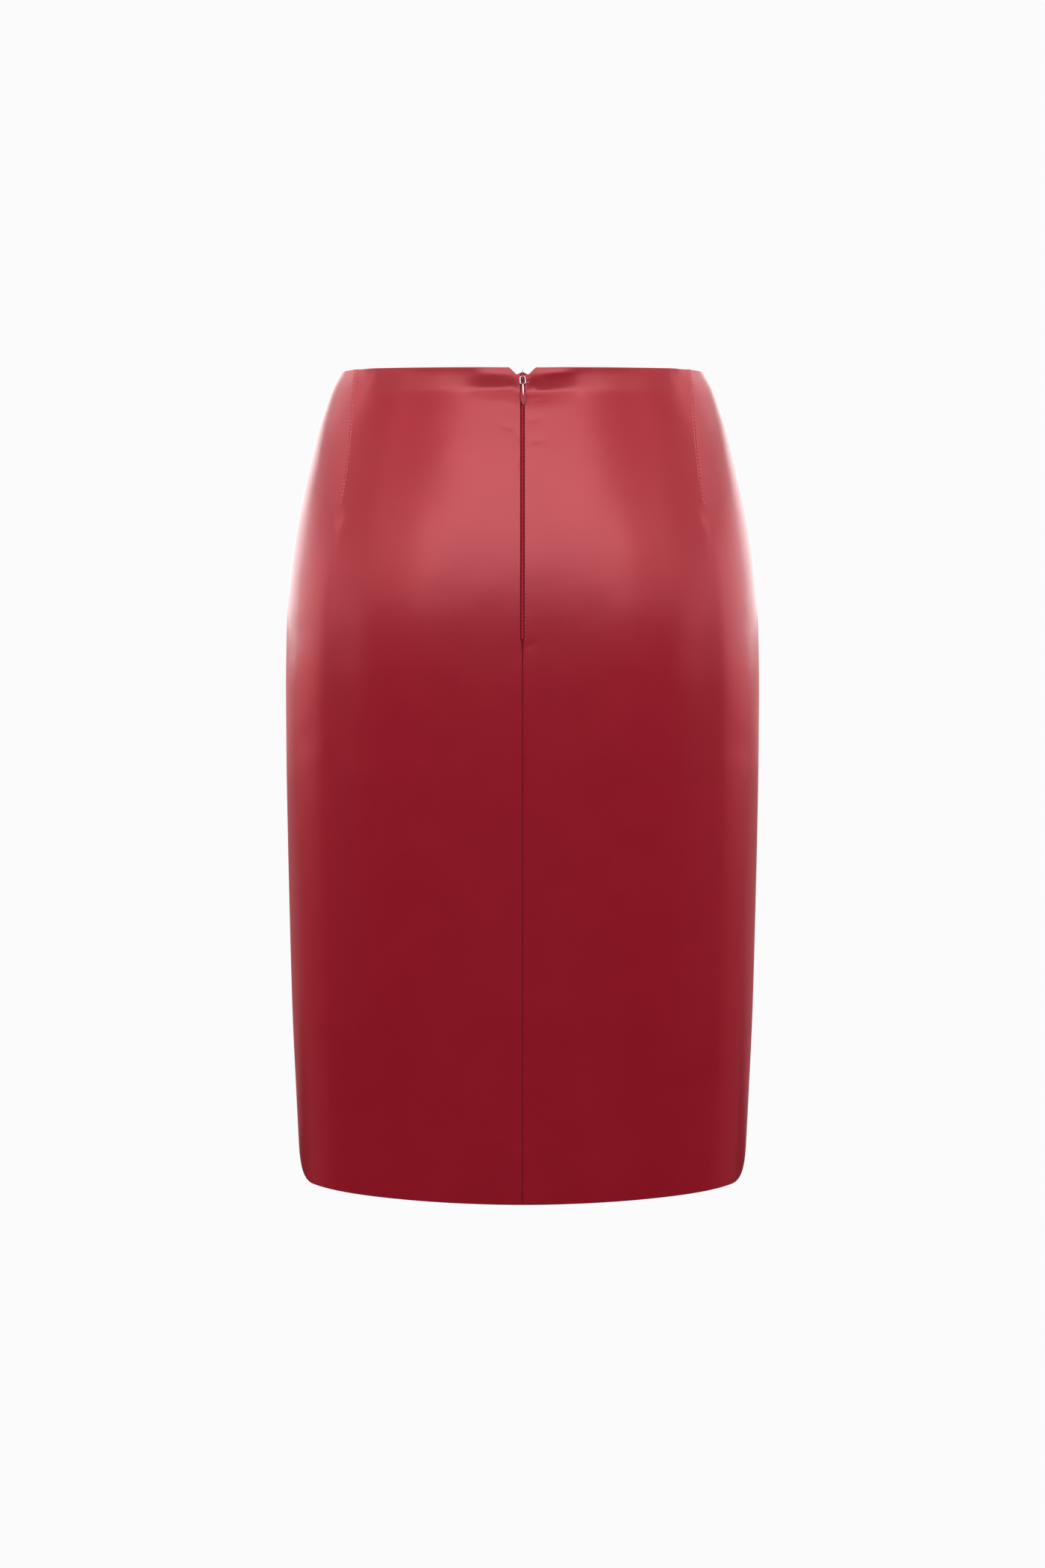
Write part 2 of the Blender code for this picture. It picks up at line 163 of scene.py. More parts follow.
def turn_table(half):
    """Lengths of the quarter rings, and the turn of the ellipse at each share of that length."""
    turns = np.linspace(0, math.pi / 2, 361)
    x, y = ring_place(*(value[:, None] for value in ring_shape(half, TABLE_DROPS)), turns)
    steps = np.hypot(np.diff(x, axis=1), np.diff(y, axis=1))
    arcs = np.hstack([np.zeros((len(TABLE_DROPS), 1)), np.cumsum(steps, axis=1)])
    rows = [np.interp(TABLE_SHARES * row[-1], row, turns) for row in arcs]
    return arcs[:, -1], np.array(rows)


TURNS = {half: turn_table(half) for half in ("back", "front")}


def side_arc(half, drops):
    """Arc of the side seam's plane."""
    return np.interp(drops, TABLE_DROPS, TURNS[half][0])


def bare_points(half, arcs, drops):
    """Points on the plain rings, without darts or creases."""
    arcs, drops = np.broadcast_arrays(np.asarray(arcs, float), np.asarray(drops, float))
    length = side_arc(half, drops)
    share = np.abs(arcs) / length
    inside = np.clip(share, 0, 1)
    column = inside * (len(TABLE_SHARES) - 1)
    row = (drops - TABLE_DROPS[0]) / (TABLE_DROPS[1] - TABLE_DROPS[0])
    left = np.clip(column.astype(int), 0, len(TABLE_SHARES) - 2)
    top = np.clip(row.astype(int), 0, len(TABLE_DROPS) - 2)
    column, row = column - left, row - top
    table = TURNS[half][1]
    upper = table[top, left] * (1 - column) + table[top, left + 1] * column
    lower = table[top + 1, left] * (1 - column) + table[top + 1, left + 1] * column
    width, depth, square = ring_shape(half, drops)
    turn = upper * (1 - row) + lower * row
    turn = turn + (share - inside) * length / (depth * (1 + 3 * square))
    x, y = ring_place(width, depth, square, turn)
    return np.stack([np.copysign(x, arcs), y if half == "back" else -y, -drops], axis=-1)


def unit(vectors):
    return vectors / np.linalg.norm(vectors, axis=-1, keepdims=True)


def outward(half, arcs, drops):
    """Unit normals of the plain rings' surface, pointing away from the wearer."""
    reach = 1.0 * MM
    across = bare_points(half, arcs + reach, drops) - bare_points(half, arcs - reach, drops)
    down = bare_points(half, arcs, drops + reach) - bare_points(half, arcs, drops - reach)
    normals = unit(np.cross(across, down))
    return normals if half == "back" else -normals


def dart_arc(half, drops):
    """Arc of the dart's line, and below its point of the soft fold that runs on down."""
    dart = DARTS[half]
    ends = (dart.waist_arc, dart.point_arc, dart.hem_arc)
    straight = np.interp(drops, (0.0, dart.length, HEM_DROP), ends)
    share = np.minimum(drops / dart.length, 1.0)
    return straight - dart.bow * 4 * share * (1 - share)


def zip_edge(drops):
    """Arc of the leather's edge beside the zip, and below it of the centre seam."""
    closing = ease((drops - ZIP_DROP + ZIP_TAPER) / ZIP_TAPER)
    return ZIP_HALF_GAP + (SEAM_HALF_GAP - ZIP_HALF_GAP) * closing


def waist_edge(half, arcs):
    """Drop of the waist edge, with the notch at the zip's top."""
    if half == "front":
        return np.zeros_like(arcs)
    return np.interp(np.abs(arcs), (NOTCH_FLAT, NOTCH_TOP), (NOTCH_DEPTH, 0.0))


# ---- darts, creases and unevenness

DART_RIDGE = 1.35 * MM  # how far the leather stands out where it turns the corner at a dart
DART_FALL = 14 * MM  # distance over which that ridge falls away to each side
DART_GROOVE = 0.30 * MM
DART_GROOVE_WIDTH = 0.55 * MM
DART_ROUND = 0.25 * MM  # rounding of the ridge's crest
FOLD_ROUND = 6 * MM  # what is added to that in the soft fold below a dart's point
FOLD_LENGTH = 150 * MM
DIMPLE_DEPTH = 0.60 * MM
DIMPLE_SIZE = (4.0 * MM, 7.0 * MM)
# Drop, rounding and slope above of each bend in the strip under the waist edge
WAIST_BENDS = ((4.5 * MM, 2.5 * MM, 0.08), (16.3 * MM, 3.0 * MM, 0.23))
WAIST_FALL = (1 * MM, 24 * MM)  # from how far inside the dart it rises, and over what distance
ZIP_HOLDS = 0.4  # share of it that is left beside the zip
ZIP_HELD = (12 * MM, 26 * MM)  # how far away the rest starts, and over what distance it grows
LEVEL_TILT = 0.3  # share of the surface's own slope that the waist strip's lift follows
HIP_FILL = 1.6 * MM  # how far the hips fill the leather out beside the side seams
HIP_DROP = 122 * MM
HIP_HEIGHT = 72 * MM
HIP_REACH = 90 * MM
SEAM_DRAW = 0.22 * MM  # how far a sewn seam draws the leather in
SEAM_DRAW_WIDTH = 3.2 * MM
SEAM_PUCKER = 0.35  # how unevenly it does, in two waves down the seam
SEAM_WAVES = (2.1 * MM, 7.3 * MM)
SEAM_CALM = 30 * MM  # how far from the side seams the unevenness is held back

# A crease runs from its start to its end in (arc, drop) and sags down between them. Positive
# depths are troughs and negative ones ridges. above and below are its widths on the two sides,
# and peak is the share of its length at which it is deepest. Above a folded one the leather
# slopes straight down to a sharp line. All lengths are in millimetres.
Crease = namedtuple(
    "Crease", "arc drop end_arc end_drop sag depth above below peak folded", defaults=(False,)
)
FOLD_LINE = 0.5 * MM  # rounding of a folded crease's line
FOLD_TOP = 0.03  # softness of the upper end of its slope
SLIDER_HOLDS = 0.45  # share of the creases' depth that is lost at the slider
SLIDER_REACH = 4.5 * MM  # how far to each side, down to where and over what distance that fades
SLIDER_REACH_END = 19 * MM
SLIDER_REACH_FADE = 5 * MM
BACK_CREASES = (
    # under the waist edge on the wearer's left of the zip, then down beside the zip
    (-16, 12.3, 48, 14.0, 1.6, 1.65, 8.1, 4.8, 0.49, True),
    (2.0, 20.6, 31, 18.4, 0.5, 0.17, 1.7, 2.0, 0.22),
    (4.5, 4.0, 38, 3.4, 0.3, -0.34, 2.0, 2.4, 0.35),
    (6.5, 9.8, 12, 9.2, 0.0, -0.12, 0.6, 0.7, 0.50),
    (1.5, 30.5, 15, 27.0, 0.3, 0.07, 1.6, 2.0, 0.30),
    (2.0, 44.0, 20, 39.8, 0.6, 0.26, 1.9, 2.3, 0.30),
    (1.0, 45.5, 7.5, 56.0, 0.4, 0.34, 1.6, 2.2, 0.20),
    (1.0, 62.0, 9.5, 77.0, 0.8, 0.55, 2.6, 3.2, 0.28),
    (2.5, 79.0, 9.0, 88.0, 0.3, 0.26, 1.9, 2.4, 0.50),
    (1.5, 96.0, 11, 92.0, 0.2, 0.06, 2.0, 2.4, 0.25),
    (1.5, 131.0, 12, 128.0, 0.3, 0.06, 2.4, 2.8, 0.25),
    (10.0, 214.5, 17.0, 217.0, -0.8, -0.13, 0.7, 0.9, 0.30),
    (0.5, 200.0, 12, 206.0, 0.6, 0.16, 1.6, 2.2, 0.15),
    # the same on the wearer's right
    (16, 13.8, -46, 12.4, 3.5, 2.50, 11.4, 6.4, 0.45, True),
    (-8.0, 3.6, -42, 3.2, 0.3, -0.32, 2.0, 2.6, 0.35),
    (-2.0, 24.4, -27, 22.0, 0.4, 0.30, 2.1, 2.2, 0.30),
    (-1.5, 30.5, -10, 31.5, 0.0, -0.05, 1.4, 1.4, 0.40),
    (-1.5, 38.0, -18, 36.0, 0.4, 0.22, 2.0, 2.0, 0.25),
    (-1.5, 47.6, -12, 46.6, 0.0, -0.06, 1.8, 1.8, 0.25),
    (-2.0, 53.0, -23, 51.0, 0.4, 0.26, 2.2, 2.2, 0.30),
    (-1.5, 64.5, -14, 61.5, 0.3, 0.20, 2.2, 2.2, 0.30),
    (-1.5, 82.0, -17, 77.0, 0.5, 0.10, 2.6, 2.8, 0.25),
    (-1.5, 118.0, -13, 114.0, 0.3, 0.06, 2.4, 2.6, 0.25),
    (-0.5, 199.5, -15, 193.5, 0.5, 0.24, 1.8, 2.2, 0.15),
    # broad soft ones over the seat and towards the side seams
    (40, 232, 96, 214, 5, 0.22, 13, 16, 0.45),
    (-34, 226, -104, 220, 4, 0.20, 12, 16, 0.55),
    (160, 196, 214, 176, 3, 0.22, 9, 12, 0.55),
    (-166, 188, -220, 172, 3, 0.20, 9, 11, 0.50),
    (150, 262, 205, 286, -4, 0.18, 12, 14, 0.40),
    (-146, 270, -214, 282, -3, 0.20, 12, 14, 0.45),
)
FRONT_CREASES = (
    # short ones under the waist edge and at the darts' points
    (20, 16, 74, 9, 2.2, 0.35, 4.2, 3.2, 0.35),
    (-8, 19, -66, 12, 1.8, 0.28, 4.4, 3.2, 0.45),
    (129, 106, 104, 117, -1.5, 0.20, 4.2, 3.4, 0.20),
    (-130, 108, -108, 122, -1.2, 0.18, 4.0, 3.4, 0.25),
    (152, 84, 190, 70, 1.0, 0.20, 3.6, 4.4, 0.30),
    (-150, 88, -186, 76, 1.4, 0.24, 3.4, 4.2, 0.35),
    # drag lines across the lap
    (-92, 176, 78, 168, 7, 0.26, 11, 17, 0.42),
    (-58, 203, 104, 211, 5, 0.22, 12, 18, 0.60),
    (118, 226, 206, 204, 4, 0.24, 11, 15, 0.60),
    (-110, 232, -200, 206, 5, 0.26, 11, 15, 0.50),
    (-30, 246, 66, 252, 4, 0.14, 13, 16, 0.50),
    (148, 300, 208, 322, -4, 0.20, 12, 14, 0.40),
    (-150, 292, -214, 316, -3, 0.20, 12, 14, 0.45),
)
CREASES = {
    half: [Crease(*row) for row in rows]
    for half, rows in (("back", BACK_CREASES), ("front", FRONT_CREASES))
}

# Tack dimples, where the inside of the hem is caught, in millimetres
Tack = namedtuple("Tack", "arc drop half_width half_height depth")
TACKS = (Tack(148, 540, 1.5, 1.0, 0.26), Tack(-148.5, 539, 1.4, 1.1, 0.24))

Wave = namedtuple("Wave", "length height")
WAVES = (
    Wave(64 * MM, 0.10 * MM),
    Wave(33 * MM, 0.040 * MM),
    Wave(15 * MM, 0.012 * MM),
    Wave(8.5 * MM, 0.004 * MM),
)
WAVES_OF_EACH = 5
WAVE_SEED = 11


def crease_height(crease, arcs, drops):
    """How far one crease lifts the leather, less than nothing in a trough."""
    start = np.array([crease.arc, crease.drop]) * MM
    run = np.array([crease.end_arc, crease.end_drop]) * MM - start
    length = np.hypot(*run)
    along, beside = run / length, np.array([-run[1], run[0]]) / length * np.sign(run[0])
    s = ((arcs - start[0]) * along[0] + (drops - start[1]) * along[1]) / length
    off = (arcs - start[0]) * beside[0] + (drops - start[1]) * beside[1]
    off = off - crease.sag * MM * 4 * s * (1 - s)
    width = np.where(off < 0, crease.above, crease.below) * MM
    fade = ease(s / crease.peak) * ease((1 - s) / (1 - crease.peak))
    shape = np.exp(-((off / width) ** 2))
    if crease.folded:
        left = 1 - np.sqrt(off**2 + FOLD_LINE**2) / width
        shape = np.where(off < 0, (np.sqrt(left**2 + FOLD_TOP) + left) / 2, shape)
    return -crease.depth * MM * fade * shape


def dart_height(half, arcs, drops):
    """The ridge at a dart, the groove of its sewn line, and the soft fold below its point."""
    dart = DARTS[half]
    away = np.abs(np.abs(arcs) - dart_arc(half, drops))
    rounding = DART_ROUND + FOLD_ROUND * ease((drops - 0.9 * dart.length) / (0.5 * dart.length))
    fall = (np.sqrt(away**2 + rounding**2) - rounding) / DART_FALL
    strength = ease((dart.length + FOLD_LENGTH - drops) / FOLD_LENGTH)
    ridge = DART_RIDGE * strength * np.exp(-fall)
    sewn = ease((dart.length - drops) / (0.04 * dart.length))
    groove = DART_GROOVE * sewn * np.exp(-((away / DART_GROOVE_WIDTH) ** 2))
    below = (drops - dart.length - DIMPLE_SIZE[1] * 0.9) / DIMPLE_SIZE[1]
    dimple = DIMPLE_DEPTH * np.exp(-((away / DIMPLE_SIZE[0]) ** 2) - below**2)
    return ridge - groove - dimple


def waist_height(half, arcs, drops):
    """Between the darts the leather stands nearly upright above a soft bend near the waist edge."""
    standing = 0.0
    for bend, rounding, slope in WAIST_BENDS:
        above = bend - drops
        standing = standing + slope * (np.sqrt(above**2 + rounding**2) + above) / 2
    middle = ease((dart_arc(half, drops) - WAIST_FALL[0] - np.abs(arcs)) / WAIST_FALL[1])
    if half == "back":
        free = ease((np.abs(arcs) - ZIP_HELD[0]) / ZIP_HELD[1])
        middle = middle * (ZIP_HOLDS + (1 - ZIP_HOLDS) * free)
    return standing * middle


def seam_height(half, arcs, drops):
    """How the sewn seams at the sides and the centre back draw the leather in, unevenly."""
    fine, broad = (drops / wave for wave in SEAM_WAVES)
    pucker = 1 + SEAM_PUCKER * np.sin(fine) * np.sin(broad + 1.0)
    beside = side_arc(half, drops) - np.abs(arcs)
    drawn = np.exp(-((beside / SEAM_DRAW_WIDTH) ** 2))
    if half == "back":
        below_zip = ease((drops - ZIP_DROP) / ZIP_TAPER)
        drawn = drawn + below_zip * np.exp(-((arcs / (0.6 * SEAM_DRAW_WIDTH)) ** 2))
    return -SEAM_DRAW * pucker * drawn


def hip_height(half, arcs, drops):
    """How the hips fill the leather out beside the side seams."""
    beside = side_arc(half, drops) - np.abs(arcs)
    level = np.exp(-(((drops - HIP_DROP) / HIP_HEIGHT) ** 2))
    return HIP_FILL * ease(1 - beside / HIP_REACH) * level


def unevenness(half, arcs, drops):
    """The slight waves of a hide that hangs free, from a few seeded plane waves."""
    rng = np.random.default_rng(WAVE_SEED + (half == "front"))
    height = np.zeros_like(arcs)
    for wave in WAVES:
        for _ in range(WAVES_OF_EACH):
            angle, phase = rng.uniform(0, math.pi), rng.uniform(0, 2 * math.pi)
            place = arcs * math.cos(angle) + drops * math.sin(angle)
            swell = np.sin(2 * math.pi * place / wave.length + phase)
            height = height + wave.height / WAVES_OF_EACH * swell
    calm = ease((side_arc(half, drops) - np.abs(arcs)) / SEAM_CALM)
    return height * calm


def slider_reach(arcs, drops):
    """1 at the slider, which holds the edges beside it out, and 0 away from it."""
    down = ease((SLIDER_REACH_END - drops) / SLIDER_REACH_FADE)
    return np.exp(-((arcs / SLIDER_REACH) ** 2)) * down


def relief(half, arcs, drops):
    """How far the leather's face stands out of the plain rings, apart from the waist strip."""
    height = dart_height(half, arcs, drops) + seam_height(half, arcs, drops)
    height = height + hip_height(half, arcs, drops) + unevenness(half, arcs, drops)
    creases = sum(crease_height(crease, arcs, drops) for crease in CREASES[half])
    if half == "back":
        creases = creases * (1 - SLIDER_HOLDS * slider_reach(arcs, drops))
        for tack in TACKS:
            across = (arcs / MM - tack.arc) / tack.half_width
            down = (drops / MM - tack.drop) / tack.half_height
            height = height - tack.depth * MM * np.exp(-(across**2 + down**2))
    return height + creases


def skin(half, arcs, drops, heights=0.0):
    """Points at these heights out of the leather's face, darts and creases included."""
    arcs, drops = np.broadcast_arrays(np.asarray(arcs, float), np.asarray(drops, float))
    normals = outward(half, arcs, drops)
    lift = (relief(half, arcs, drops) + heights)[..., None]
    level = normals * (1, 1, LEVEL_TILT)
    strip = waist_height(half, arcs, drops)[..., None]
    return bare_points(half, arcs, drops) + normals * lift + level * strip


# ---- mesh helpers


def mesh_object(name, points, faces, materials, face_slots=None):
    mesh = bpy.data.meshes.new(name)
    mesh.from_pydata([tuple(point) for point in points], [], faces)
    for material in materials:
        mesh.materials.append(material)
    if face_slots is not None:
        mesh.polygons.foreach_set("material_index", np.asarray(face_slots, np.int32))
    mesh.shade_smooth()
    mesh.update()
    obj = bpy.data.objects.new(name, mesh)
    scene.collection.objects.link(obj)
    return obj


class Build:
    """Collects the points and faces of one mesh."""

    def __init__(self):
        self.points, self.faces, self.slots = [], [], []

    def add(self, points, faces, slot=0):
        first = sum(len(block) for block in self.points)
        self.points.append(np.asarray(points, float).reshape(-1, 3))
        self.faces += [tuple(first + corner for corner in face) for face in faces]
        self.slots += [slot] * len(faces)

    def object(self, name, materials):
        return mesh_object(name, np.concatenate(self.points), self.faces, materials, self.slots)


def grid_faces(rows, columns, flip=False, first=0):
    faces = []
    for row in range(rows - 1):
        for column in range(columns - 1):
            corner = first + row * columns + column
            face = (corner, corner + 1, corner + columns + 1, corner + columns)
            faces.append(face[::-1] if flip else face)
    return faces


def rim_of(rows, columns, first=0):
    """Places of a grid's outer points, once round from its first corner along the first row."""
    rim = list(range(columns))
    rim += [row * columns + columns - 1 for row in range(1, rows)]
    rim += [(rows - 1) * columns + column for column in range(columns - 2, -1, -1)]
    rim += [row * columns for row in range(rows - 2, 0, -1)]
    return [first + place for place in rim]


def slab(build, outer, inner, flip=False, slot=0):
    """A closed plate between two grids of points. outer's faces look out unless flipped."""
    rows, columns = outer.shape[:2]
    count = rows * columns
    faces = grid_faces(rows, columns, not flip) + grid_faces(rows, columns, flip, count)
    rim = rim_of(rows, columns)
    for here, there in zip(rim, rim[1:] + rim[:1]):
        face = (here, there, there + count, here + count)
        faces.append(face[::-1] if flip else face)
    build.add(np.concatenate([outer.reshape(-1, 3), inner.reshape(-1, 3)]), faces, slot)


def tube_faces(rings, sides, flip=False):
    """Faces of a closed tube: its wall, ring after ring, and its two ends."""
    faces = []
    for low in range(0, (rings - 1) * sides, sides):
        for corner in range(sides):
            after = (corner + 1) % sides
            face = (low + corner, low + after, low + sides + after, low + sides + corner)
            faces.append((face[0], *face[:0:-1]) if flip else face)
    last = (rings - 1) * sides
    near, far = tuple(range(sides)), tuple(range(last, last + sides))
    return faces + ([near, far[::-1]] if flip else [near[::-1], far])


def tube(path, radius, sides, upright):
    """Points and faces of a closed tube along a path, with one radius or one for each point."""
    forward = unit(np.gradient(path, axis=0))
    beside = unit(np.cross(forward, upright))
    above = np.cross(beside, forward)
    turns = np.linspace(0, 2 * math.pi, sides, endpoint=False)[None, :, None]
    ring = np.cos(turns) * beside[:, None] + np.sin(turns) * above[:, None]
    points = path[:, None] + ring * np.broadcast_to(radius, len(path))[:, None, None]
    return points, tube_faces(len(path), sides)


def declare(piece, node=None, body="skirt"):
    """Hides the solid a piece stands for, if one is given, and hangs the piece on the body it rides
    on.
    """
    if node:
        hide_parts(node)
    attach(piece, body)


# ---- the panels' outlines and grids


def spaced(stops):
    """Positions that run through (from, to, step) stretches, each step rounded to fit."""
    positions = [stops[0][0]]
    for start, end, step in stops:
        count = max(1, round((end - start) / step))
        positions += list(np.linspace(start, end, count + 1)[1:])
    return np.array(positions)


def along(line, distances):
    """Points of a polyline at these distances along it."""
    steps = np.hypot(*np.diff(line, axis=0).T)
    travelled = np.concatenate([[0], np.cumsum(steps)])
    return np.stack([np.interp(distances, travelled, line[:, axis]) for axis in (0, 1)], axis=-1)


def line_length(line):
    return float(np.hypot(*np.diff(line, axis=0).T).sum())


def outer_arc(half, hem_arcs, drops):
    """Where a column that meets the hem's ring at these arcs crosses the rings at these drops."""
    inner_hem = dart_arc(half, HEM_DROP) + DART_SIDE_COLUMN
    share = (hem_arcs - inner_hem) / (side_arc(half, HEM_DROP) - SEAM_HALF_GAP - inner_hem)
    inner = dart_arc(half, drops) + DART_SIDE_COLUMN
    return inner + (side_arc(half, drops) - SEAM_HALF_GAP - inner) * share


CORNER_POINTS = 90


def hem_line(half, start_arc, turn_end):
    """The hem from near the centre line round its corner, up to a turn of the corner's circle."""
    side = side_arc(half, HEM_DROP) - SEAM_HALF_GAP
    flat_arcs = np.linspace(start_arc, side - HEM_CORNER, 150, endpoint=False)
    turns = np.linspace(math.pi / 2, turn_end, CORNER_POINTS)
    arcs = np.concatenate([flat_arcs, side - HEM_CORNER * (1 - np.cos(turns))])
    lift = np.concatenate([np.zeros(len(flat_arcs)), HEM_CORNER * (1 - np.sin(turns))])
    drops = HEM_DROP - HEM_RISE * ease(arcs / (side - HEM_CORNER)) - lift
    beyond = arcs > dart_arc(half, HEM_DROP) + DART_SIDE_COLUMN
    arcs = np.where(beyond, outer_arc(half, arcs, drops), arcs)
    return np.stack([arcs, drops], axis=-1)


CORNER_TURN = math.pi / 4  # where a panel's bottom row of faces ends and its side column begins
DART_COLUMNS = {
    "back": (0.3, 0.7, 1.2, 1.8, 2.6, 3.6, 5.0, 7.0, 9.3, 12.0),
    "front": (0.4, 0.9, 1.6, 2.6, 4.0, 6.0, 8.6, 12.0),
}
# Stretches of columns at the waist in millimetres: from, to and step. The last runs to the dart.
CENTRE_STOPS = {
    "back": ((ZIP_HALF_GAP / MM, 4.4, 1.45), (4.4, 9.5, 1.7), (9.5, 16, 1.6)),
    "front": (),
}
MIDDLE_STEP = {"back": 2.6, "front": 3.3}
OUTER_COLUMNS = {"back": 33, "front": 26}
ROW_STOPS = {
    "back": ((6.0, 60, 1.1), (60, 110, 1.7), (110, 230, 2.6), (230, 592, 3.2), (592, 600.6, 1.4)),
    "front": ((1.4, 50, 1.6), (50, 110, 2.3), (110, 592, 3.3), (592, 600.6, 1.4)),
}


def top_and_bottom(half):
    """Outline points of half a panel along its waist and its hem, from the centre line out."""
    dart = DARTS[half]
    near = np.array(DART_COLUMNS[half]) * MM
    near = np.concatenate([-near[::-1], [0], near])
    stops = CENTRE_STOPS[half]
    last_stop = (stops[-1][1] if stops else 0, (dart.waist_arc + near[0]) / MM, MIDDLE_STEP[half])
    middle = spaced([*stops, last_stop]) * MM
    first = middle[0]
    side = float(side_arc(half, 0.0)) - SEAM_HALF_GAP
    outer_shares = np.linspace(0, 1, OUTER_COLUMNS[half] + 1)[1:]
    top_outer = dart.waist_arc + near[-1] + (side - dart.waist_arc - near[-1]) * outer_shares
    top = np.concatenate([middle, dart.waist_arc + near[1:], top_outer])
    start = SEAM_HALF_GAP if half == "back" else 0.0
    hem = hem_line(half, start, CORNER_TURN)
    scale = (dart.hem_arc + near[0] - start) / (middle[-1] - first)
    bottom_middle = (middle - first) * scale
    bottom_near = dart.hem_arc - start + near[1:]
    bottom_outer = bottom_near[-1] + (line_length(hem) - bottom_near[-1]) * outer_shares
    bottom = along(hem, np.concatenate([bottom_middle, bottom_near, bottom_outer]))
    top = np.stack([top, waist_edge(half, top)], axis=-1)
    return top, bottom, len(middle) + len(near) // 2 - 1


def side_line(half, rows):
    """The side seam and the first half of the hem's corner, at these shares of its length."""
    drops = np.linspace(0, CORNER_START, 400, endpoint=False)
    straight = np.stack([side_arc(half, drops) - SEAM_HALF_GAP, drops], axis=-1)
    corner = hem_line(half, SEAM_HALF_GAP, 0.0)[::-1]
    turns = np.linspace(math.pi / 2, 0.0, CORNER_POINTS)[::-1]
    corner = corner[:CORNER_POINTS][turns <= CORNER_TURN + 1e-9]
    line = np.concatenate([straight, corner, hem_line(half, SEAM_HALF_GAP, CORNER_TURN)[-1:]])
    return along(line, rows * line_length(line))


def mirrored(line):
    return line * np.array([-1, 1])


def panel_outline(half, whole):
    """The four sides of a panel's outline, and the columns that follow its darts."""
    top, bottom, dart_column = top_and_bottom(half)
    start = float(top[0, 1])
    drops = np.concatenate([[start], spaced(ROW_STOPS[half]) * MM, [HEM_DROP]])
    shares = (drops - start) / (HEM_DROP - start)
    side = side_line(half, shares)
    if not whole:
        centre = np.stack([zip_edge(drops), drops], axis=-1)
        return top, side, bottom, centre, [dart_column], shares
    columns = len(top)
    top = np.concatenate([mirrored(top[:0:-1]), top])
    bottom = np.concatenate([mirrored(bottom[:0:-1]), bottom])
    darts = [columns - 1 - dart_column, columns - 1 + dart_column]
    return top, side, bottom, mirrored(side), darts, shares


def coons(top, right, bottom, left, shares):
    """A grid that blends four boundary lines, rows first."""
    columns = [(line[:, 0] - line[0, 0]) / (line[-1, 0] - line[0, 0]) for line in (top, bottom)]
    u = ((columns[0] + columns[1]) / 2)[None, :, None]
    v = shares[:, None, None]
    upper, lower = (1 - u) * (1 - v) * top[0] + u * (1 - v) * top[-1], (1 - u) * v * bottom[0]
    corners = upper + lower + u * v * bottom[-1]
    down, across = (1 - v) * top[None] + v * bottom[None], (1 - u) * left[:, None]
    return down + across + u * right[:, None] - corners


def follow_darts(grid, half, darts):
    """Slides the inner points along their rings so that the darts' columns lie on the darts."""
    for row in grid[1:-1]:
        marks, moves = [row[0, 0]], [0.0]
        for column in darts:
            arc, drop = row[column]
            marks.append(arc)
            moves.append(math.copysign(float(dart_arc(half, drop)), arc) - arc)
        marks.append(row[-1, 0])
        moves.append(0.0)
        row[:, 0] += np.interp(row[:, 0], marks, moves)
    return grid


def inward_mitres(loop):
    """How far each point of a closed outline moves when the outline shrinks by one metre."""
    steps = unit(np.roll(loop, -1, axis=0) - loop)
    normals = np.stack([-steps[:, 1], steps[:, 0]], axis=-1)
    before = np.roll(normals, 1, axis=0)
    return (normals + before) / (1 + (normals * before).sum(axis=1, keepdims=True))


